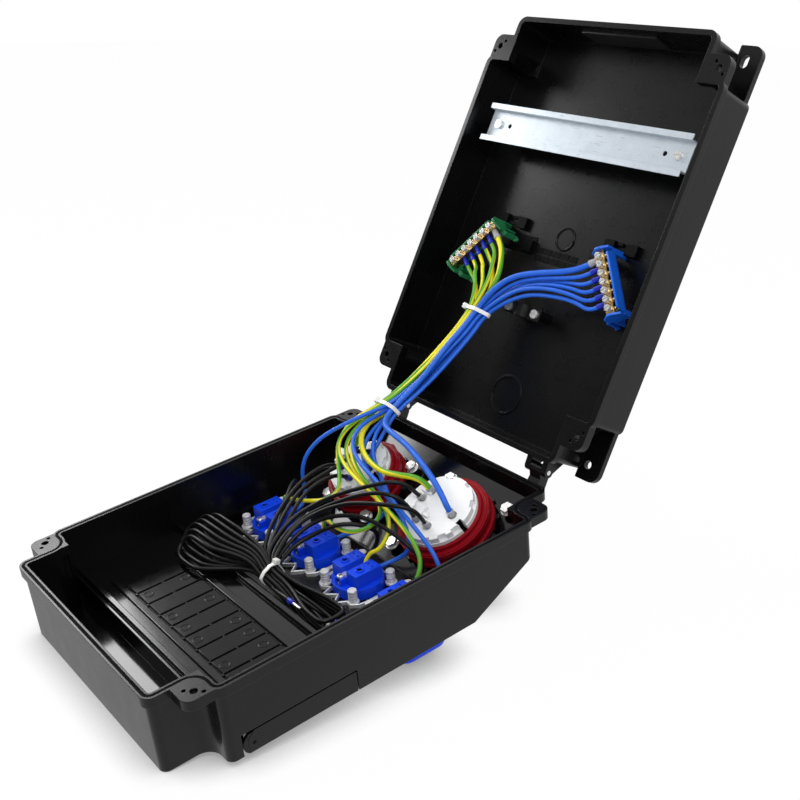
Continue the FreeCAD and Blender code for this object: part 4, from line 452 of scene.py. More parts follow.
PHASE_ROUTES = (
    ((44.88, 93.93, -17.87), (44.9, 90.2, -10), (45, 86.2, 0), (40.5, 80, 8.5), (29, 73, 11), (14, 65.5, 7),
     (-4, 54, -2), (-22, 37, -13), (-28, 18, -22), (-23, 1, -29)),
    ((58.81, 93.83, -17.92), (58.8, 90, -9.9), (58, 84.5, 0.5), (53.5, 76, 6.5), (43, 68.5, 7.5), (24, 62, 4),
     (4, 54, -1), (-13, 39, -9), (-21, 21, -17), (-18.5, 4, -25.5)),
    ((33.05, 110.97, -9.6), (32.8, 105, -2), (30.5, 99, 7), (23.5, 90, 12), (9, 76, 8), (-9, 60, 1),
     (-24, 42, -8), (-33, 22, -18), (-29, 3, -27)),
    ((81.5, 50.5, -46), (81.5, 61, -45.5), (81, 70, -39.5), (77, 71, -28), (66, 67, -18), (50, 63.5, -12),
     (34, 60.5, -8.5), (14, 55, -8), (-7, 42, -13), (-17, 26, -20), (-17, 7, -28.5)),
    ((20.5, 50.5, -46), (20.8, 61, -45.2), (21.5, 69, -38.5), (22, 70, -28), (18.7, 62.5, -20.5),
     (9.3, 51, -16.5), (0, 40, -18.5), (-9, 28, -25), (-15, 14, -30), (-12, 0, -34.5)),
    ((-40.5, 50.5, -46), (-40.8, 61, -45.8), (-42, 69.8, -39), (-43, 71, -28.5), (-44, 63.5, -20.5),
     (-44.5, 53, -20.5), (-43, 38, -26), (-36, 21, -32), (-26, 5, -36)),
    ((-101.5, 50.5, -46), (-101.3, 61, -45.5), (-100, 69.5, -39), (-97, 70, -27), (-89, 62, -20), (-78, 50, -20),
     (-66, 37, -24), (-54, 22, -30.5), (-41, 6.5, -36.5)),
    ((-52.86, 124.56, -5.22), (-52.9, 116.4, 1.9), (-54.7, 105.2, 2.2), (-58, 94, -5), (-59.5, 80, -7.5),
     (-60, 66, -9.5), (-58.5, 50, -12.5), (-53, 34, -18), (-43, 16, -25), (-33, 1, -31)),
    ((-51.27, 97.22, -18.5), (-51.3, 89.1, -11.4), (-52, 78, -8.5), (-51.5, 64, -8.5), (-48, 48, -10.5),
     (-42, 30, -18), (-32, 10, -29)),
    ((-69.43, 101.6, -16.37), (-69.4, 93.4, -9.3), (-70, 81.5, -7), (-70, 66, -9.5), (-66, 47, -14.5),
     (-58, 28, -21), (-47, 8, -28.5)),
)
# Where each lead joins the hank, and its place in the tie
JOINS = ((-15, -10, -33), (-11, -9, -31), (-22, -10, -33), (-12, -9, -35), (-9, -10.5, -38), (-15, -9, -39),
         (-28, -8, -39), (-23, -11, -36), (-20, -9.5, -36), (-32, -8, -37))
FIRST_SLOTS = ((4.4, 4.55), (2.6, 7.6), (2.6, 1.52), (6.1, 1.52), (7.9, -1.52), (6.1, -4.55), (2.6, -4.55),
               (0.9, -1.52), (4.4, -1.52), (0.9, -7.6))
HANK_TIE = (-3.0, -18.0, -40.0)
# Six leads turn back at the right and make a loop at the left before they end
LOOPED = (0, 1, 3, 4, 5, 8)
RIGHT_TURNS = ((84, -40.4), (79, -36.8), (87, -44.1), (82, -47.8), (86, -51.4), (80, -55.0))
OUT_SLOTS = ((0.9, 4.55), (-0.9, 7.6), (-2.6, 4.55), (-6.1, 4.55), (-4.4, 1.52), (-7.9, 1.52))
BACK_SLOTS = ((-0.9, 1.52), (-2.6, -1.52), (-0.9, -4.55), (-2.6, -7.6), (-4.4, -4.55), (-6.1, -1.52))
LEFT_LOOPS = ((-13.0, -100.0), (-19.5, -104.0), (-26.0, -101.0), (-32.5, -99.0), (-39.0, -92.0), (-45.5, -85.0))
# The run of each lead from the tie to its end
TAILS = {
    0: ((40, -17.0, -42.5), (58, -13.5, -45.5), (70, -11.0, -47.5)),
    1: ((36, -19.5, -46.0), (54, -19.0, -48.5), (72, -18.5, -50.0)),
    2: ((40, -14.5, -41.0), (60, -12.0, -44.0), (76, -12.5, -45.5)),
    3: ((34, -19.0, -50.0), (50, -16.5, -52.5), (66, -14.5, -54.0)),
    4: ((36, -21.5, -51.5), (52, -21.0, -54.5), (68, -20.0, -56.0)),
    5: ((30, -22.5, -47.5), (40, -22.0, -49.0), (52, -22.0, -51.0)),
    6: ((42, -12.5, -47.5), (60, -14.5, -50.0), (74, -16.0, -51.5)),
    7: ((40, -15.0, -44.5), (58, -16.5, -47.0), (72, -17.5, -48.0)),
    8: ((10, -26.2, -40.6), (21, -27.8, -38.3), (29, -28.1, -37.2), (38, -28.3, -36.6)),
    9: ((42, -14.0, -52.5), (60, -15.5, -55.0), (78, -17.0, -56.0)),
}
# Leads whose end sleeves are grey
GREY_ENDS = (1, 7)
# The lead whose end lies on top of the hank
TOP_LEAD = 8
CURVE_ORDER, CURVE_STEPS = 3, 10
WIRE_SIDES = 14


def cover_point(p):
    return COVER @ Vector(p)


def box_point(p):
    return BOX @ Vector(p)


def bar_point(side, way, out):
    """Point of the closed box beside a terminal of the PE (side -1) or N (side +1) bar."""
    along = BAR_PITCH * (way - 3)
    x = BAR_CENTRE[0] + along * math.sin(BAR_LEAN) - out * math.cos(BAR_LEAN)
    return (side * x, BAR_CENTRE[1] + along * math.cos(BAR_LEAN) + out * math.sin(BAR_LEAN), WIRE_LEVEL)


def harness_points(side, way):
    slots = (PE_SLOTS if side < 0 else N_SLOTS)[way]
    later = N_CHANGES.get(way) if side > 0 else None
    in_box = [bar_point(side, way, FERRULE_END), bar_point(side, way, FERRULE_NEXT)]
    in_box += (PE_UPPER if side < 0 else N_UPPER)[way]
    in_box.append((UPPER_TIE[0] + slots[0], UPPER_TIE[1], UPPER_TIE[2] - slots[1]))
    span = [(x + u, y + w * wy, z + w * wz)
            for ((x, y, z), (wy, wz)), (u, w) in zip(SPAN, later or [slots] * len(SPAN))]
    lower = (PE_LOWER if side < 0 else N_LOWER)[way]
    return [box_point(p) for p in in_box] + [cover_point(p) for p in span + list(lower)]


def nurbs(name, points):
    """Open NURBS curve whose control points are the route's points, in the row frame."""
    curve = bpy.data.curves.new(name, "CURVE")
    curve.dimensions = "3D"
    spline = curve.splines.new("NURBS")
    spline.points.add(len(points) - 1)
    for control, p in zip(spline.points, points):
        control.co = (*p, 1.0)
    spline.order_u = CURVE_ORDER
    spline.use_endpoint_u = True
    spline.resolution_u = curve.resolution_u = CURVE_STEPS
    return curve


def spline_path(name, points):
    """Points read from the route's NURBS spline."""
    probe = link(name + "_line", nurbs(name + "_line", points))
    mesh = bpy.data.meshes.new_from_object(probe)
    path = [v.co.copy() for v in mesh.vertices]
    bpy.data.objects.remove(probe)
    bpy.data.meshes.remove(mesh)
    clean = [path[0]]
    for p in path[1:]:
        if (p - clean[-1]).length > 1e-6:
            clean.append(p)
    return clean


def swept(name, path, radius, twist, phase):
    """Mesh tube along a path, its texture's X going round the section."""
    bm = bmesh.new()
    uv = bm.loops.layers.uv.new("UVMap")
    count = len(path)
    normal = (path[1] - path[0]).normalized().orthogonal().normalized()
    rings, along = [], [0.0]
    for i, p in enumerate(path):
        ahead = (path[min(i + 1, count - 1)] - path[max(i - 1, 0)]).normalized()
        normal = (normal - ahead * normal.dot(ahead)).normalized()
        side = ahead.cross(normal)
        if i:
            along.append(along[-1] + (p - path[i - 1]).length)
        turn = phase + twist * along[-1]
        angles = [2 * math.pi * j / WIRE_SIDES + turn for j in range(WIRE_SIDES)]
        rings.append([bm.verts.new(p + (normal * math.cos(a) + side * math.sin(a)) * radius) for a in angles])
    for i in range(count - 1):
        for j in range(WIRE_SIDES):
            k = (j + 1) % WIRE_SIDES
            face = bm.faces.new((rings[i][j], rings[i][k], rings[i + 1][k], rings[i + 1][j]))
            for loop, (u, v) in zip(face.loops, ((j, i), (j + 1, i), (j + 1, i + 1), (j, i + 1))):
                loop[uv].uv = (u / WIRE_SIDES, along[v] / UV_LENGTH)
    bm.faces.new(list(reversed(rings[0])))
    bm.faces.new(rings[-1])
    return to_object(name, bm)


HARNESS_PATHS = []
for side, label, material, node in ((-1, "pe", EARTH, "pe_wires"), (1, "n", NEUTRAL, "n_wires")):
    for way in range(len(PE_SLOTS)):
        radius = (HEAVY if way == 0 else WIRE) * MM
        name = f"{label}_wire_{way + 1}"
        path = spline_path(name, harness_points(side, way))
        HARNESS_PATHS.append((path, radius / MM))
        wire = swept(name, path, radius, twist=26.0 + 7.0 * way, phase=2.2 + 1.7 * way)
        dress(wire, material)
        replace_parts(wire, node)
        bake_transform(wire)


def hank_points(lead):
    """Points of a lead from its socket into the hank, with the turns that it makes there."""
    x, y, z = HANK_TIE
    dy, dz = FIRST_SLOTS[lead]
    points = list(PHASE_ROUTES[lead]) + [JOINS[lead], (x, y + dy, z + dz)]
    if lead not in LOOPED:
        return points + [(22, -16.5 + dy * 0.9, -43.5 + dz * 0.8)] + list(TAILS[lead])
    k = LOOPED.index(lead)
    end, level = RIGHT_TURNS[k]
    oy, oz = OUT_SLOTS[k]
    by, bz = BACK_SLOTS[k]
    points += [(25, -15.0 + dy, -43.0 + dz * 0.9), (52, -6.5, level + (dz - 1) * 0.15),
               (end - 12, -4.6, level), (end + 2, -4.8, level), (end + 2, -26.8, level + 0.3),
               (end - 14, -27.0, level + 0.3), (52, -25.5 + oy * 0.15, level + 0.5), (24, -17.5 + oy, -43 + oz)]
    top, turn = LEFT_LOOPS[k]
    points += [(x, y + oy, z + oz), (-26, -17.5 + (top + 29) * 0.45, -31.0 + oz * 0.5), (-54, top + 2.0, -24.5),
               (turn + 24, top, -22.5), (turn + 3, top - 0.5, -22.8), (turn - 2, top - 7.5, -29.5),
               (turn + 3, top - 15.0, -36.2), (turn + 24, top - 15.0, -36.4), (-50, top - 12.5, -36.5),
               (-25, -21.0 + (top + 29) * 0.3, -37.5 + bz * 0.3), (x, y + by, z + bz)]
    if lead != TOP_LEAD:
        points += [(21, -17.5 + by * 1.05, -43.5 + bz)]
    return points + list(TAILS[lead])


def crimp(name, end, ahead, material):
    """Wire-end sleeve: a flared plastic collar and a pressed metal spade, ahead of a wire's end."""
    place = frame_along(end, ahead)
    sleeve = ((0.0, 2.35), (0.4, 2.45), (4.6, 2.1), (5.6, 1.55), (6.6, 1.3))
    pressed = ((6.2, 1.1, 1.1), (8.5, 1.1, 1.05), (11.0, 1.15, 0.85), (15.6, 1.15, 0.8), (16.0, 0.95, 0.65))
    return (to_piece(name, turned(sleeve, 20), place, material),
            to_piece(name + "_spade", turned(pressed, 20), place, BRIGHT))


LEAD_PATHS = []
for lead in range(len(PHASE_ROUTES)):
    name = f"phase_lead_{lead + 1}"
    points = [cover_point(p) for p in hank_points(lead)]
    path = spline_path(name, points)
    LEAD_PATHS.append((path, WIRE))
    curve = nurbs(name, points)
    curve.bevel_depth = WIRE * MM
    curve.bevel_resolution = 4
    curve.use_fill_caps = True
    wire = dress(link(name, curve), PHASE, "front_cover")
    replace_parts(wire, "phase_leads", "phase_hank")
    ends = crimp(f"lead_end_{lead + 1}", points[-1], (points[-1] - points[-2]).normalized(),
                 FERRULE_GREY if lead in GREY_ENDS else FERRULE)
    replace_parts(ends[0], "lead_ferrules")


# Two-pole sockets: threaded screw posts and the sprung retaining frames

SOCKET_X = (-91.5, -30.5, 30.5, 91.5)
SOCKET_Y = 40.5
FLOOR_TOP = -60.6
POST_FOOT = FLOOR_TOP + 1.5
POST_TOP = POST_FOOT + 12.5
POST_SIDES = 24
POST_REACH = 19
FRAME_SIDE = 26.8
THREAD_CORE, THREAD_DEPTH, THREAD_PITCH, THREAD_STEP = 3.2, 0.65, 2.4, 0.3


def threaded_post():
    """Screw post on a round foot, with a coarse rolled thread and a flat end with a shallow dish."""
    bm = bmesh.new()
    foot = ((0, 2.0), (0, 4.7), (0.3, 5.0), (1.5, 5.0), (2.0, 4.6), (2.2, 3.5))
    tip = ((-2.3, 3.8), (-0.6, 3.8), (0, 3.3), (0, 2.3), (-0.5, 2.0), (-0.5, 0.6))
    rows = [(-69.0, 2.0, 0)] + [(POST_FOOT + z, r, 0) for z, r in foot]
    level = POST_FOOT + 2.4
    while level < POST_TOP - 2.6:
        rows.append((level, THREAD_CORE, THREAD_DEPTH))
        level += THREAD_STEP
    rows += [(POST_TOP + z, r, 0) for z, r in tip]
    rings = []
    for z, radius, depth in rows:
        loop = []
        for i in range(POST_SIDES):
            a = 2 * math.pi * i / POST_SIDES
            r = radius + depth * abs(((z / THREAD_PITCH - i / POST_SIDES) % 1.0) * 2 - 1)
            loop.append(bm.verts.new((r * math.cos(a), r * math.sin(a), z)))
        rings.append(loop)
    skin(bm, rings)
    return bm


FRAME_LINE = ((-21.5, -23.5), (-16.5, -25.0), (-10.0, -20.5), (-6.5, -31.0), (2.5, -22.0), (9.5, -31.0),
              (15.5, -22.5), (21.0, -23.5), (25.5, -18.0), (26.8, -12.0), (26.8, 13.0), (25.5, 18.5), (21.0, 23.0),
              (-21.0, 23.0), (-25.5, 18.5), (-26.8, 13.0), (-26.8, -12.0), (-25.5, -18.0))
posts = bmesh.new()
for i, x in enumerate(SOCKET_X, 1):
    at = move((x, SOCKET_Y, 0))
    frame_band = bmesh.new()
    merge(frame_band, strip(FRAME_LINE[::-1], 0.75, FLOOR_TOP, FLOOR_TOP + 3.4), at)
    for side in (-FRAME_SIDE, FRAME_SIDE):
        merge(frame_band, block((side - 1.7, side + 1.7), (-11.0, 12.0), (FLOOR_TOP, FLOOR_TOP + 2.6), 0.7), at)
    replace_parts(to_piece(f"retaining_frame_{i}", frame_band, COVER, STEEL), f"socket_frame_{i}")
    for px in (-POST_REACH, POST_REACH):
        for py in (-POST_REACH, POST_REACH):
            merge(posts, threaded_post(), move((x + px, SOCKET_Y + py, 0)))
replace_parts(to_piece("screw_posts", posts, COVER, CAST), "socket_posts")

# Two-pole sockets: screw wells on the terminal blocks and the pillar of the earth screw, with matt black painted
# shade in their holes and slots

BLOCK_REAR = -52.0
BLOCK_TOP = BLOCK_REAR + 12.0
# The slots mesh is painted shade: matt black discs in the wells' holes, a plate in the pillar's opening and bars in
# the screw heads' cross slots
wells, slots, heads = bmesh.new(), bmesh.new(), bmesh.new()
for x in SOCKET_X:
    for side in (-10.0, 10.0):
        at = move((x + side, SOCKET_Y - 4.0, BLOCK_TOP))
        merge(wells, lathe(((2.3, -0.4), (2.3, 0.9), (2.6, 1.2), (3.4, 1.2), (3.7, 0.9), (3.7, -0.2)), 32), at)
        merge(slots, turned(((-0.7, 2.3), (-0.45, 2.3), (-0.4, 1.3), (-0.42, 0.6)), 24), at)
        merge(wells, strip(((-4.6, 3.0), (4.6, 3.0), (4.6, 10.6), (-4.6, 10.6)), 0.45, -0.2, 0.45, 0.15),
              move((x + side, SOCKET_Y, BLOCK_TOP)))
    at = move((x - 1.0, SOCKET_Y - 15.5, BLOCK_REAR))
    merge(wells, block((-4.4, 4.4), (-1.6, 3.0), (-0.2, 6.2), 0.5), at)
    for side in (-3.1, 3.1):
        merge(wells, block((side - 1.3, side + 1.3), (-3.2, -1.2), (-0.2, 6.2), 0.4), at)
    merge(slots, block((-1.85, 1.85), (-2.2, -1.4), (0.0, 5.6), 0.15), at)
    merge(heads, block((-0.8, 0.8), (-2.9, -2.0), (0.2, 2.4), 0.25), at)
    merge(heads, turned(((6.1, 2.9), (7.4, 3.0), (8.0, 2.6), (8.2, 1.6), (8.25, 0.6)), 24), at)
    for turn in (30, 120):
        merge(slots, block((-1.9, 1.9), (-0.35, 0.35), (7.9, 8.32), 0.08),
              at @ rotate(turn))
to_piece("terminal_wells", wells, COVER, BLUE)
to_piece("terminal_slots_painted_shade", slots, COVER, MATT)
to_piece("earth_screws", heads, COVER, BRIGHT)

# Blanking strip: tongues joined by small webs over a groove floor of painted shade, ejector marks, and the rails
# beside it

BLANK_FACE = -41.4
SPLITS = (-80.4, -63.4, -43.9, -24.4, -4.9, 14.6, 34.1, 53.6, 73.1, 80.4)
EJECTOR_MARKS = ([(x, -101.3) for x in (-55.6, -15.5, 4.0, 24.2, 64.3)]
                 + [(x, -68.3) for x in (-55.6, -15.5, 24.2, 64.3, 44.0)])
# Floor of the grooves between the tongues, in a darker matt black as painted shade
groove_floor_shade = block((-80.4, 80.4), (-108.4, -58.6), (-42.6, -42.3), 0.1)
tongues = block((-78.2, 78.2), (-106.2, -60.8), (-46.0, -42.5), 0.3)
for low, high in zip(SPLITS, SPLITS[1:]):
    merge(tongues, block((low + 1.0, high - 1.0), (-107.2, -59.8), (-42.4, BLANK_FACE), 0.2))
for x in SPLITS[1:-1]:
    for y in (-107.9, -84.6, -59.1):
        merge(tongues, block((x - 1.3, x + 1.3), (y - 0.9, y + 0.9), (-42.4, BLANK_FACE - 0.1), 0.15))
for x, y in EJECTOR_MARKS:
    merge(tongues, lathe(((3.1, -0.2), (3.1, 0.05), (3.4, 0.22), (3.9, 0.22), (4.2, -0.2)), 32),
          move((x, y, BLANK_FACE)))
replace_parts(to_piece("blanking_strip", tongues, COVER, STRIP), "module_blank")
to_piece("strip_grooves_painted_shade", groove_floor_shade, COVER, MATT)
rails = bmesh.new()
for low, high in ((-115.4, -109.6), (-57.4, -51.6)):
    merge(rails, block((-96.0, 96.0), (low, high), (-43.0, -40.9), 0.5))
to_piece("strip_rails", rails, COVER, BLACK)

# Flap: round knuckles with a flat underside about its axis

FLAP_AXIS = (0, -120, -57)
KNUCKLE_RADIUS, KNUCKLE_FLAT = 8.6, -6.8
turns = [math.radians(a) for a in range(0, 360, 10)]
round_end = [(KNUCKLE_RADIUS * math.cos(a), max(KNUCKLE_RADIUS * math.sin(a), KNUCKLE_FLAT)) for a in turns]
knuckles = bmesh.new()
for low, high in ((-130.8, -128.2), (128.2, 130.8)):
    merge(knuckles, prism(round_end, low, high, 0.3), move(FLAP_AXIS) @ ACROSS)
to_piece("flap_knuckles", knuckles, COVER, SHELL, "breaker_flap")

# Five-pole sockets: lobed collar, windows of painted shade, clips, bolt sleeves and washers, raised blocks, wire-end
# sleeves

CEE = {"cee32": dict(x=52.0, red=38.0, white=33.0, inside=22.0, rear=35.0, bolts=(35.5, 37.5)),
       "cee16": dict(x=-57.0, red=33.0, white=28.5, inside=21.0, rear=33.0, bolts=(28.0, 30.0))}
LOBES = (102, 222, 342)
CLIPS = (18, 45, 72, 132, 162, 192, 252, 282, 312)
LOBE_HEIGHT, LOBE_SPREAD = 4.6, 0.15


def lobes(a):
    """How far the collar's lobes stand out at an angle."""
    bump = 0.0
    for deg in LOBES:
        off = (a - math.radians(deg) + math.pi) % (2 * math.pi) - math.pi
        bump = max(bump, LOBE_HEIGHT * math.exp(-(off / LOBE_SPREAD) ** 2))
    return bump


# Outlines of a collar's rings, from the radius of the red or white part and the height inside
COLLAR_RINGS = (
    ("red", ((-0.2, -13.5), (2.6, -13.5), (3.4, -12.8), (3.4, -9.6), (2.6, -8.8), (-0.2, -8.8)), 128, lobes),
    ("red", ((-0.2, -7.2), (1.3, -7.2), (1.3, -6.0), (-0.2, -6.0)), 96, None),
    ("red", ((-3.6, -0.4), (1.6, -0.4), (1.0, 0.9), (-3.2, 0.9)), 96, None),
    ("white", ((0.3, 0.4), (3.0, 0.4), (3.0, 3.2), (2.4, 4.2), (1.0, 4.6), (0.3, 4.4)), 96, None),
)
sleeves, washers, windows = bmesh.new(), bmesh.new(), bmesh.new()
for name, size in CEE.items():
    at = on_slope(size["x"])
    red, white, rear = size["red"], size["white"], size["rear"]
    collar = bmesh.new()
    for part, outline, count, reach in COLLAR_RINGS:
        merge(collar, lathe([(size[part] + r, size["inside"] + z) for r, z in outline], count, reach))
    to_piece(f"{name}_collar", collar, at, RED)
    # Window: matt black plates at the back and floor of the opening, painted shade
    window = block((white - 5.75, white - 5.2), (-2.4, 2.4), (rear - 10.9, rear - 0.5), 0.1)
    merge(window, block((white - 5.6, white - 0.4), (-2.4, 2.4), (rear - 10.95, rear - 10.5), 0.1))
    merge(windows, window, at @ rotate(-2.0))
    clips = bmesh.new()
    for deg in CLIPS:
        clip = block((red - 0.3, red + 3.2), (-3.4, 3.4), (3.4, 8.6), 0.5)
        merge(clip, block((red + 2.0, red + 5.4), (-2.2, 2.2), (3.4, 6.2), 0.5))
        merge(clips, clip, rotate(deg))
    to_piece(f"{name}_clips", clips, at, SATIN)
    for sx in (-1, 1):
        for sy in (-1, 1):
            place = at @ move((sx * size["bolts"][0], sy * size["bolts"][1], 0))
            merge(sleeves, lathe(((3.4, 3.4), (4.6, 3.4), (4.6, 7.2), (4.2, 7.6), (3.4, 7.6)), 28), place)
            merge(washers, lathe(((2.4, 7.7), (6.0, 7.7), (6.2, 7.9), (6.2, 8.5), (5.9, 8.7), (2.4, 8.7)), 32), place)
towers = block((-22.0, -11.0), (-15.5, -5.8), (34.6, 38.6), 0.5)
merge(towers, block((-21.4, -13.2), (-14.6, -7.6), (38.0, 42.0), 0.6))
merge(towers, block((-11.6, 1.5), (-11.8, -8.8), (34.6, 37.2), 0.4))
merge(towers, block((-24.5, -13.5), (6.0, 10.4), (34.6, 38.4), 0.6))
to_piece("cee32_towers", towers, on_slope(CEE["cee32"]["x"]), WHITE)
to_piece("bolt_sleeves", sleeves, IN_PLACE, SATIN)
to_piece("bolt_washers", washers, IN_PLACE, BRIGHT)
to_piece("cap_windows_painted_shade", windows, IN_PLACE, MATT)


def entry_sleeve(bm, end, back, radius):
    """Flared sleeve on a wire where it goes into a terminal."""
    rows = ((-1.0, -0.1), (0.0, 0.35), (3.6, 0.45), (5.0, 0.95), (5.6, 0.9), (5.9, 0.2))
    merge(bm, turned([(z, radius + more) for z, more in rows], 20), frame_along(end, back))


grey_sleeves, blue_sleeves = bmesh.new(), bmesh.new()
for side in (-1, 1):
    for way in (0, 5):
        points = harness_points(side, way)
        entry_sleeve(grey_sleeves if way == 0 else blue_sleeves, points[-1], (points[-2] - points[-1]).normalized(),
                     HEAVY if way == 0 else WIRE)
for lead in (0, 1, 2, 7, 8, 9):
    start, following = (cover_point(p) for p in PHASE_ROUTES[lead][:2])
    entry_sleeve(grey_sleeves if lead < 3 else blue_sleeves, start, (following - start).normalized(), WIRE)
to_piece("entry_sleeves_grey", grey_sleeves, IN_PLACE, FERRULE_GREY)
to_piece("entry_sleeves_blue", blue_sleeves, IN_PLACE, FERRULE)

# Terminal bars: carriers, wire sleeves and the second row of pins

BAR_PLACE = {"pe": move((-BAR_CENTRE[0], BAR_CENTRE[1], 0)) @ Matrix.Rotation(BAR_LEAN, 4, "Z"),
             "n": (move((BAR_CENTRE[0], BAR_CENTRE[1], 0)) @ Matrix.Rotation(-BAR_LEAN, 4, "Z")
                   @ Matrix.Scale(-1, 4, (1, 0, 0)))}
WAYS = [BAR_PITCH * (i - 3) for i in range(7)]
BACK = 40.9
UPRIGHT = rotate(90, "X")


def cheek(outline, y, thick):
    """Plate square to the bar, from its (x, z) outline."""
    return prism(outline, -thick / 2, thick / 2, 0.25), move((0, y, 0)) @ UPRIGHT


def carrier(wall):
    """Moulded carrier: thin slanted cheeks with clip feet, a floor and a ribbed wall behind the bar."""
    bm = bmesh.new()
    merge(bm, block((wall, 4.4), (-31.5, 31.5), (23.1, 25.4), 0.4))
    merge(bm, prism(((-29.0, 25.0), (-25.0, 13.6), (25.0, 13.6), (29.0, 25.0)), -0.9, 0.9, 0.3),
          move((wall + 0.9, 0, 0)) @ rotate(90) @ UPRIGHT)
    for y in WAYS[:-1]:
        merge(bm, block((wall + 1.2, wall + 2.6), (y + 3.4, y + 4.6), (16.0, 24.0), 0.25))
    for side in (-1, 1):
        merge(bm, *cheek(((wall, 25.4), (wall, 16.0), (-2.5, 11.6), (2.0, 11.6), (8.0, 17.0), (8.0, 25.4)),
                         side * 30.4, 2.0))
        merge(bm, *cheek(((6.6, 25.4), (6.6, 22.0), (10.8, 24.4), (10.8, 38.0), (13.2, 39.2), (13.2, BACK),
                          (8.6, BACK), (8.6, 27.0)), side * 29.2, 4.4))
        merge(bm, *cheek(((wall, 25.0), (wall, BACK), (wall + 2.2, BACK), (wall + 2.2, 29.0), (3.0, 29.0),
                          (3.0, BACK), (5.2, BACK), (5.2, 25.0)), side * 28.4, 6.0))
    return bm


for name, material, wall in (("pe", GREEN, -6.4), ("n", LIGHT_BLUE, -8.8)):
    place = BOX @ BAR_PLACE[name]
    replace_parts(to_piece(f"{name}_carrier", carrier(wall), place, material, "rear_box"), f"{name}_holder")
    for label, ways, tone in (("grey", WAYS[:1], FERRULE_GREY), ("blue", WAYS[1:6], FERRULE)):
        bm = bmesh.new()
        for y in ways:
            wide = 0.75 if label == "grey" else 0.0
            merge(bm, turned(((-2.0, 1.7), (0.15, 1.75), (0.3, 2.0 + wide), (4.8, 2.1 + wide), (7.6, 2.5 + wide),
                              (9.0, 2.55 + wide), (9.2, 2.3 + wide)), 20),
                  move((3.75, y, WIRE_LEVEL)) @ rotate(90, "Y"))
        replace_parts(to_piece(f"{name}_sleeves_{label}", bm, place, tone, "rear_box"), f"{name}_ferrules")
pins = bmesh.new()
for y in WAYS:
    merge(pins, turned(((23.2, 1.9), (17.4, 1.9), (17.0, 1.6), (16.9, 1.2), (14.2, 1.15), (13.8, 0.7)), 20),
          move((-5.6, y + 1.5, 0)))
to_piece("n_bar_pins", pins, BOX @ BAR_PLACE["n"], BRASS, "rear_box")
for name in BAR_PLACE:
    bm = bmesh.new()
    for y in WAYS:
        merge(bm, lathe(((2.3, 14.2), (3.3, 14.2), (3.55, 14.5), (3.55, 15.1), (2.3, 15.1)), 24),
              move((0, y, 0)))
    to_piece(f"{name}_bar_lands", bm, BOX @ BAR_PLACE[name], BRASS, "rear_box")

# Back of the rear box: slot grid, clip rails, a moulded ring and the pad on the end wall, whose lighter black is a
# painted sheen

back = bmesh.new()
for i in range(5):
    for y in (11.8, 18.4):
        merge(back, block((-27.0 + 10.2 * i, -18.2 + 10.2 * i), (y, y + 5.6), (BACK - 0.5, BACK + 0.4), 0.2))
for side in (-1, 1):
    for x, y, z in (((47, 58), (-10.0, 0.5), 4.6), ((71, 83), (-10.0, 0.5), 4.6), ((57, 72), (-4.5, -1.0), 2.2),
                    ((60, 66), (-9.5, -6.5), 3.0)):
        limits = sorted((side * x[0], side * x[1]))
        merge(back, block(limits, y, (BACK - z, BACK + 0.4), 0.4))
for x, y, z in (((-69, -30), (4.5, 20.5), 0.6), ((-68, -57), (8.0, 19.0), 4.6), ((-42, -31), (8.0, 19.0), 4.6),
                ((-57, -42), (13.0, 16.0), 2.4), ((34, 46), (8.0, 19.0), 0.6)):
    merge(back, block(x, y, (BACK - z, BACK + 0.4), 0.2 if z < 1 else 0.4))
to_piece("box_back_clips", back, BOX, MATT, "rear_box")
ridge = lathe(((9.0, 0.4), (9.0, -0.5), (9.5, -1.0), (10.3, -1.0), (10.8, -0.5), (10.8, 0.4)), 64)
ridge.transform(move((1.0, -0.5, BACK)))
to_piece("box_back_mouldings", ridge, BOX, BLACK, "rear_box")
to_piece("box_top_pad", block((-42.0, 42.0), (-176.4, -173.4), (12.0, 34.0), 0.8), BOX, PAD_PAINTED_SHEEN, "rear_box")

# Cable ties: a band drawn tight round the wires that it holds, with its locking head

# From a wire's surface to the middle of the band
BAND_GAP = 0.75
HARNESS_REACH, HANK_REACH = 18, 14


def held(paths, place, reach):
    """Plan points round every wire where it passes the plane of a tie, in the tie's frame."""
    inside = place.inverted()
    points = []
    for path, radius in paths:
        local = [inside @ p for p in path]
        for a, b in zip(local, local[1:]):
            if a.z * b.z <= 0 and a.z != b.z:
                c = a.lerp(b, a.z / (a.z - b.z))
                if math.hypot(c.x, c.y) < reach:
                    points += [(c.x + (radius + BAND_GAP) * math.cos(t * math.pi / 12),
                                c.y + (radius + BAND_GAP) * math.sin(t * math.pi / 12)) for t in range(24)]
    return hull(points)


def tie(name, line, place, head):
    """Band of a cable tie on its line, with the head at the point of it that lies furthest to the head's side."""
    bm = bmesh.new()
    merge(bm, strip(line, 0.55, -1.7, 1.7, 0.25))
    at = max(line, key=lambda p: p[0] * head[0] + p[1] * head[1])
    turn = move((*at, 0)) @ Matrix.Rotation(math.atan2(head[1], head[0]), 4, "Z")
    lock = block((-0.5, 3.8), (-2.5, 2.5), (-2.5, 2.5), 0.6)
    merge(lock, block((2.8, 4.4), (-0.7, 0.7), (-1.6, 1.6), 0.3))
    merge(bm, lock, turn)
    return to_piece(name, bm, place, NYLON, None)


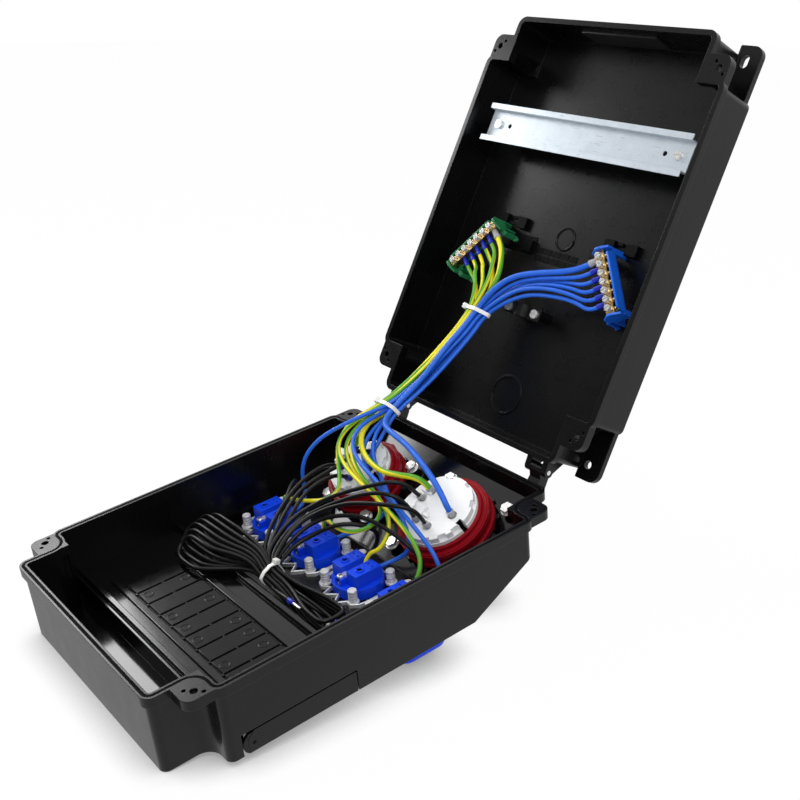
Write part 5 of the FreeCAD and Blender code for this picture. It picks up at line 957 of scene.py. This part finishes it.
stations = [COVER.inverted() @ box_point(UPPER_TIE)] + [Vector(centre) for centre, _ in SPAN]
for name, at, before, after in (("upper_tie", 0, 0, 1), ("lower_tie", 4, 3, 4)):
    # +Z lies along the run that the tie holds, and +X across the board
    run = stations[after] - stations[before]
    place = COVER @ move(stations[at]) @ Matrix.Rotation(math.atan2(-run.y, run.z), 4, "X")
    band = tie(name, held(HARNESS_PATHS, place, HARNESS_REACH), place, (-1.0, 0.25))
    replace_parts(band, "harness_ties")
    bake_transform(band)
place = COVER @ move(HANK_TIE) @ ACROSS
band = tie("hank_band", held(LEAD_PATHS, place, HANK_REACH), place, (0.35, 1.0))
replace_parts(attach(band, "front_cover"), "hank_tie")


# Light, floor and camera

scene = bpy.context.scene
scene.view_settings.view_transform = "Standard"

WORLD_LIGHT = 0.58
FLOOR_GLOW = 0.97
# Reach of the floor's painted shadow, in metres
FLOOR_SHADE = 0.035
FLOOR_GLOSS = 0.7
BACKDROP_AIM = (0.0, 0.75, 0.66)
FRONT_GLOSS = 0.12
PURE_WHITE = (1.0, 1.0, 1.0, 1.0)
PAPER = (0.95, 0.95, 0.95, 1.0)
FLOOR_RADIUS, FLOOR_LEVEL = 6.0, -0.0002


def mirrored(tree, ray):
    """1 for what is seen in gloss or through glass, and 0 otherwise."""
    node = add_node(tree, "Math")
    node.operation = "MAXIMUM"
    feed(tree, node.inputs[0], ray["Is Glossy Ray"])
    feed(tree, node.inputs[1], ray["Is Transmission Ray"])
    return node.outputs[0]


def choose(tree, factor, off, on):
    node = add_node(tree, "Mix")
    node.data_type = "FLOAT"
    for i, value in ((0, factor), (2, off), (3, on)):
        feed(tree, node.inputs[i], value)
    return node.outputs[0]


def make_world():
    """White backdrop; in gloss and glass it shows white behind and above, and darker low in front."""
    world = bpy.data.worlds.new("studio")
    scene.world = world
    world.use_nodes = True
    tree = world.node_tree
    ray = add_node(tree, "LightPath").outputs
    aim = add_node(tree, "VectorMath")
    aim.operation = "DOT_PRODUCT"
    feed(tree, aim.inputs[0], add_node(tree, "TexCoord").outputs["Generated"])
    feed(tree, aim.inputs[1], BACKDROP_AIM)
    gloss = spread(tree, aim.outputs["Value"], FRONT_GLOSS, 1.0, -0.3, 0.35)
    level = choose(tree, mirrored(tree, ray), WORLD_LIGHT, gloss)
    back = tree.nodes["Background"].inputs
    feed(tree, back["Color"], PURE_WHITE)
    feed(tree, back["Strength"], choose(tree, ray["Is Camera Ray"], level, 1.0))


def make_floor():
    """Pale paper; to the camera and in gloss it shines by itself, and the glow that the camera sees darkens close to
    the board as a painted shadow.
    """
    bm = bmesh.new()
    bmesh.ops.create_circle(bm, cap_ends=True, segments=96, radius=FLOOR_RADIUS)
    mesh = bpy.data.meshes.new("floor")
    bm.to_mesh(mesh)
    bm.free()
    floor = link("floor", mesh)
    mat, tree, surface = new_material("floor_paper")
    ray = add_node(tree, "LightPath").outputs
    # Painted shadow: ambient occlusion dims the glow that the camera sees close to the board
    near = add_node(tree, "AmbientOcclusion", Distance=FLOOR_SHADE)
    near.samples = 8
    shade = spread(tree, near.outputs["AO"], 0.3, 1.0, 0.2, 0.85)
    paper = add_node(tree, "BsdfDiffuse", Color=PAPER)
    glow = add_node(tree, "Emission", Color=PURE_WHITE,
                    Strength=choose(tree, ray["Is Camera Ray"], FLOOR_GLOSS, shade))
    share = choose(tree, ray["Is Camera Ray"], mirrored(tree, ray), FLOOR_GLOW)
    mix = add_node(tree, "MixShader")
    for socket, value in zip(mix.inputs, (share, paper.outputs[0], glow.outputs[0])):
        feed(tree, socket, value)
    feed(tree, surface, mix.outputs[0])
    mesh.materials.append(mat)
    floor.location = (0.0, 0.0, FLOOR_LEVEL)


def area(name, place, target, size, power, in_gloss=True):
    light = bpy.data.lights.new(name, "AREA")
    light.shape = "RECTANGLE"
    light.size, light.size_y = size
    light.energy = power
    lamp = link(name, light)
    lamp.visible_glossy = in_gloss
    lamp.location = place
    lamp.rotation_euler = (Vector(target) - Vector(place)).to_track_quat("-Z", "Y").to_euler()


make_world()
make_floor()
area("key", (1.2, -1.1, 1.9), (0, 0, 0.15), (1.2, 1.2), 16)
area("fill", (-1.6, -0.7, 1.4), (0, 0, 0.15), (1.4, 1.4), 7, in_gloss=False)
area("top", (0.0, 0.4, 2.2), (0, 0, 0.1), (1.6, 1.6), 11.5, in_gloss=False)
area("front", (1.5, -1.5, 0.5), (0, 0, 0.1), (1.2, 0.7), 8, in_gloss=False)
area("box", cover_point((-870.0, 2.0, 605.0)), cover_point((0.0, -130.0, -45.0)), (0.34, 0.27), 2.8)

# The camera that was fitted to the photograph: its focal length in pixels, its place and its axes
CAMERA_FOCAL = 1142.44139
PHOTO_WIDTH = 800.0
SENSOR = 36.0
CAMERA_PLACE = Vector((683.19465369, -368.94444741, 474.52514565))
CAMERA_AXES = ((0.615635533957181, 0.7829307360832451, -0.08951174127121325),
               (0.295151738920991, -0.3344106855959392, -0.8950167285426397),
               (-0.7306697888520997, 0.5245845554869129, -0.43695846919750436))
camera = bpy.data.cameras.new("camera")
camera.sensor_fit = "AUTO"
camera.sensor_width = SENSOR
camera.lens = CAMERA_FOCAL * SENSOR / PHOTO_WIDTH
camera.clip_start, camera.clip_end = 0.01, 50.0
view = link("camera", camera)
right, down, ahead = (Matrix.Rotation(TILT, 3, "X") @ Vector(row) for row in CAMERA_AXES)
view.matrix_world = (move(COVER @ CAMERA_PLACE)
                     @ Matrix((right, -down, -ahead)).transposed().to_4x4())
scene.camera = view
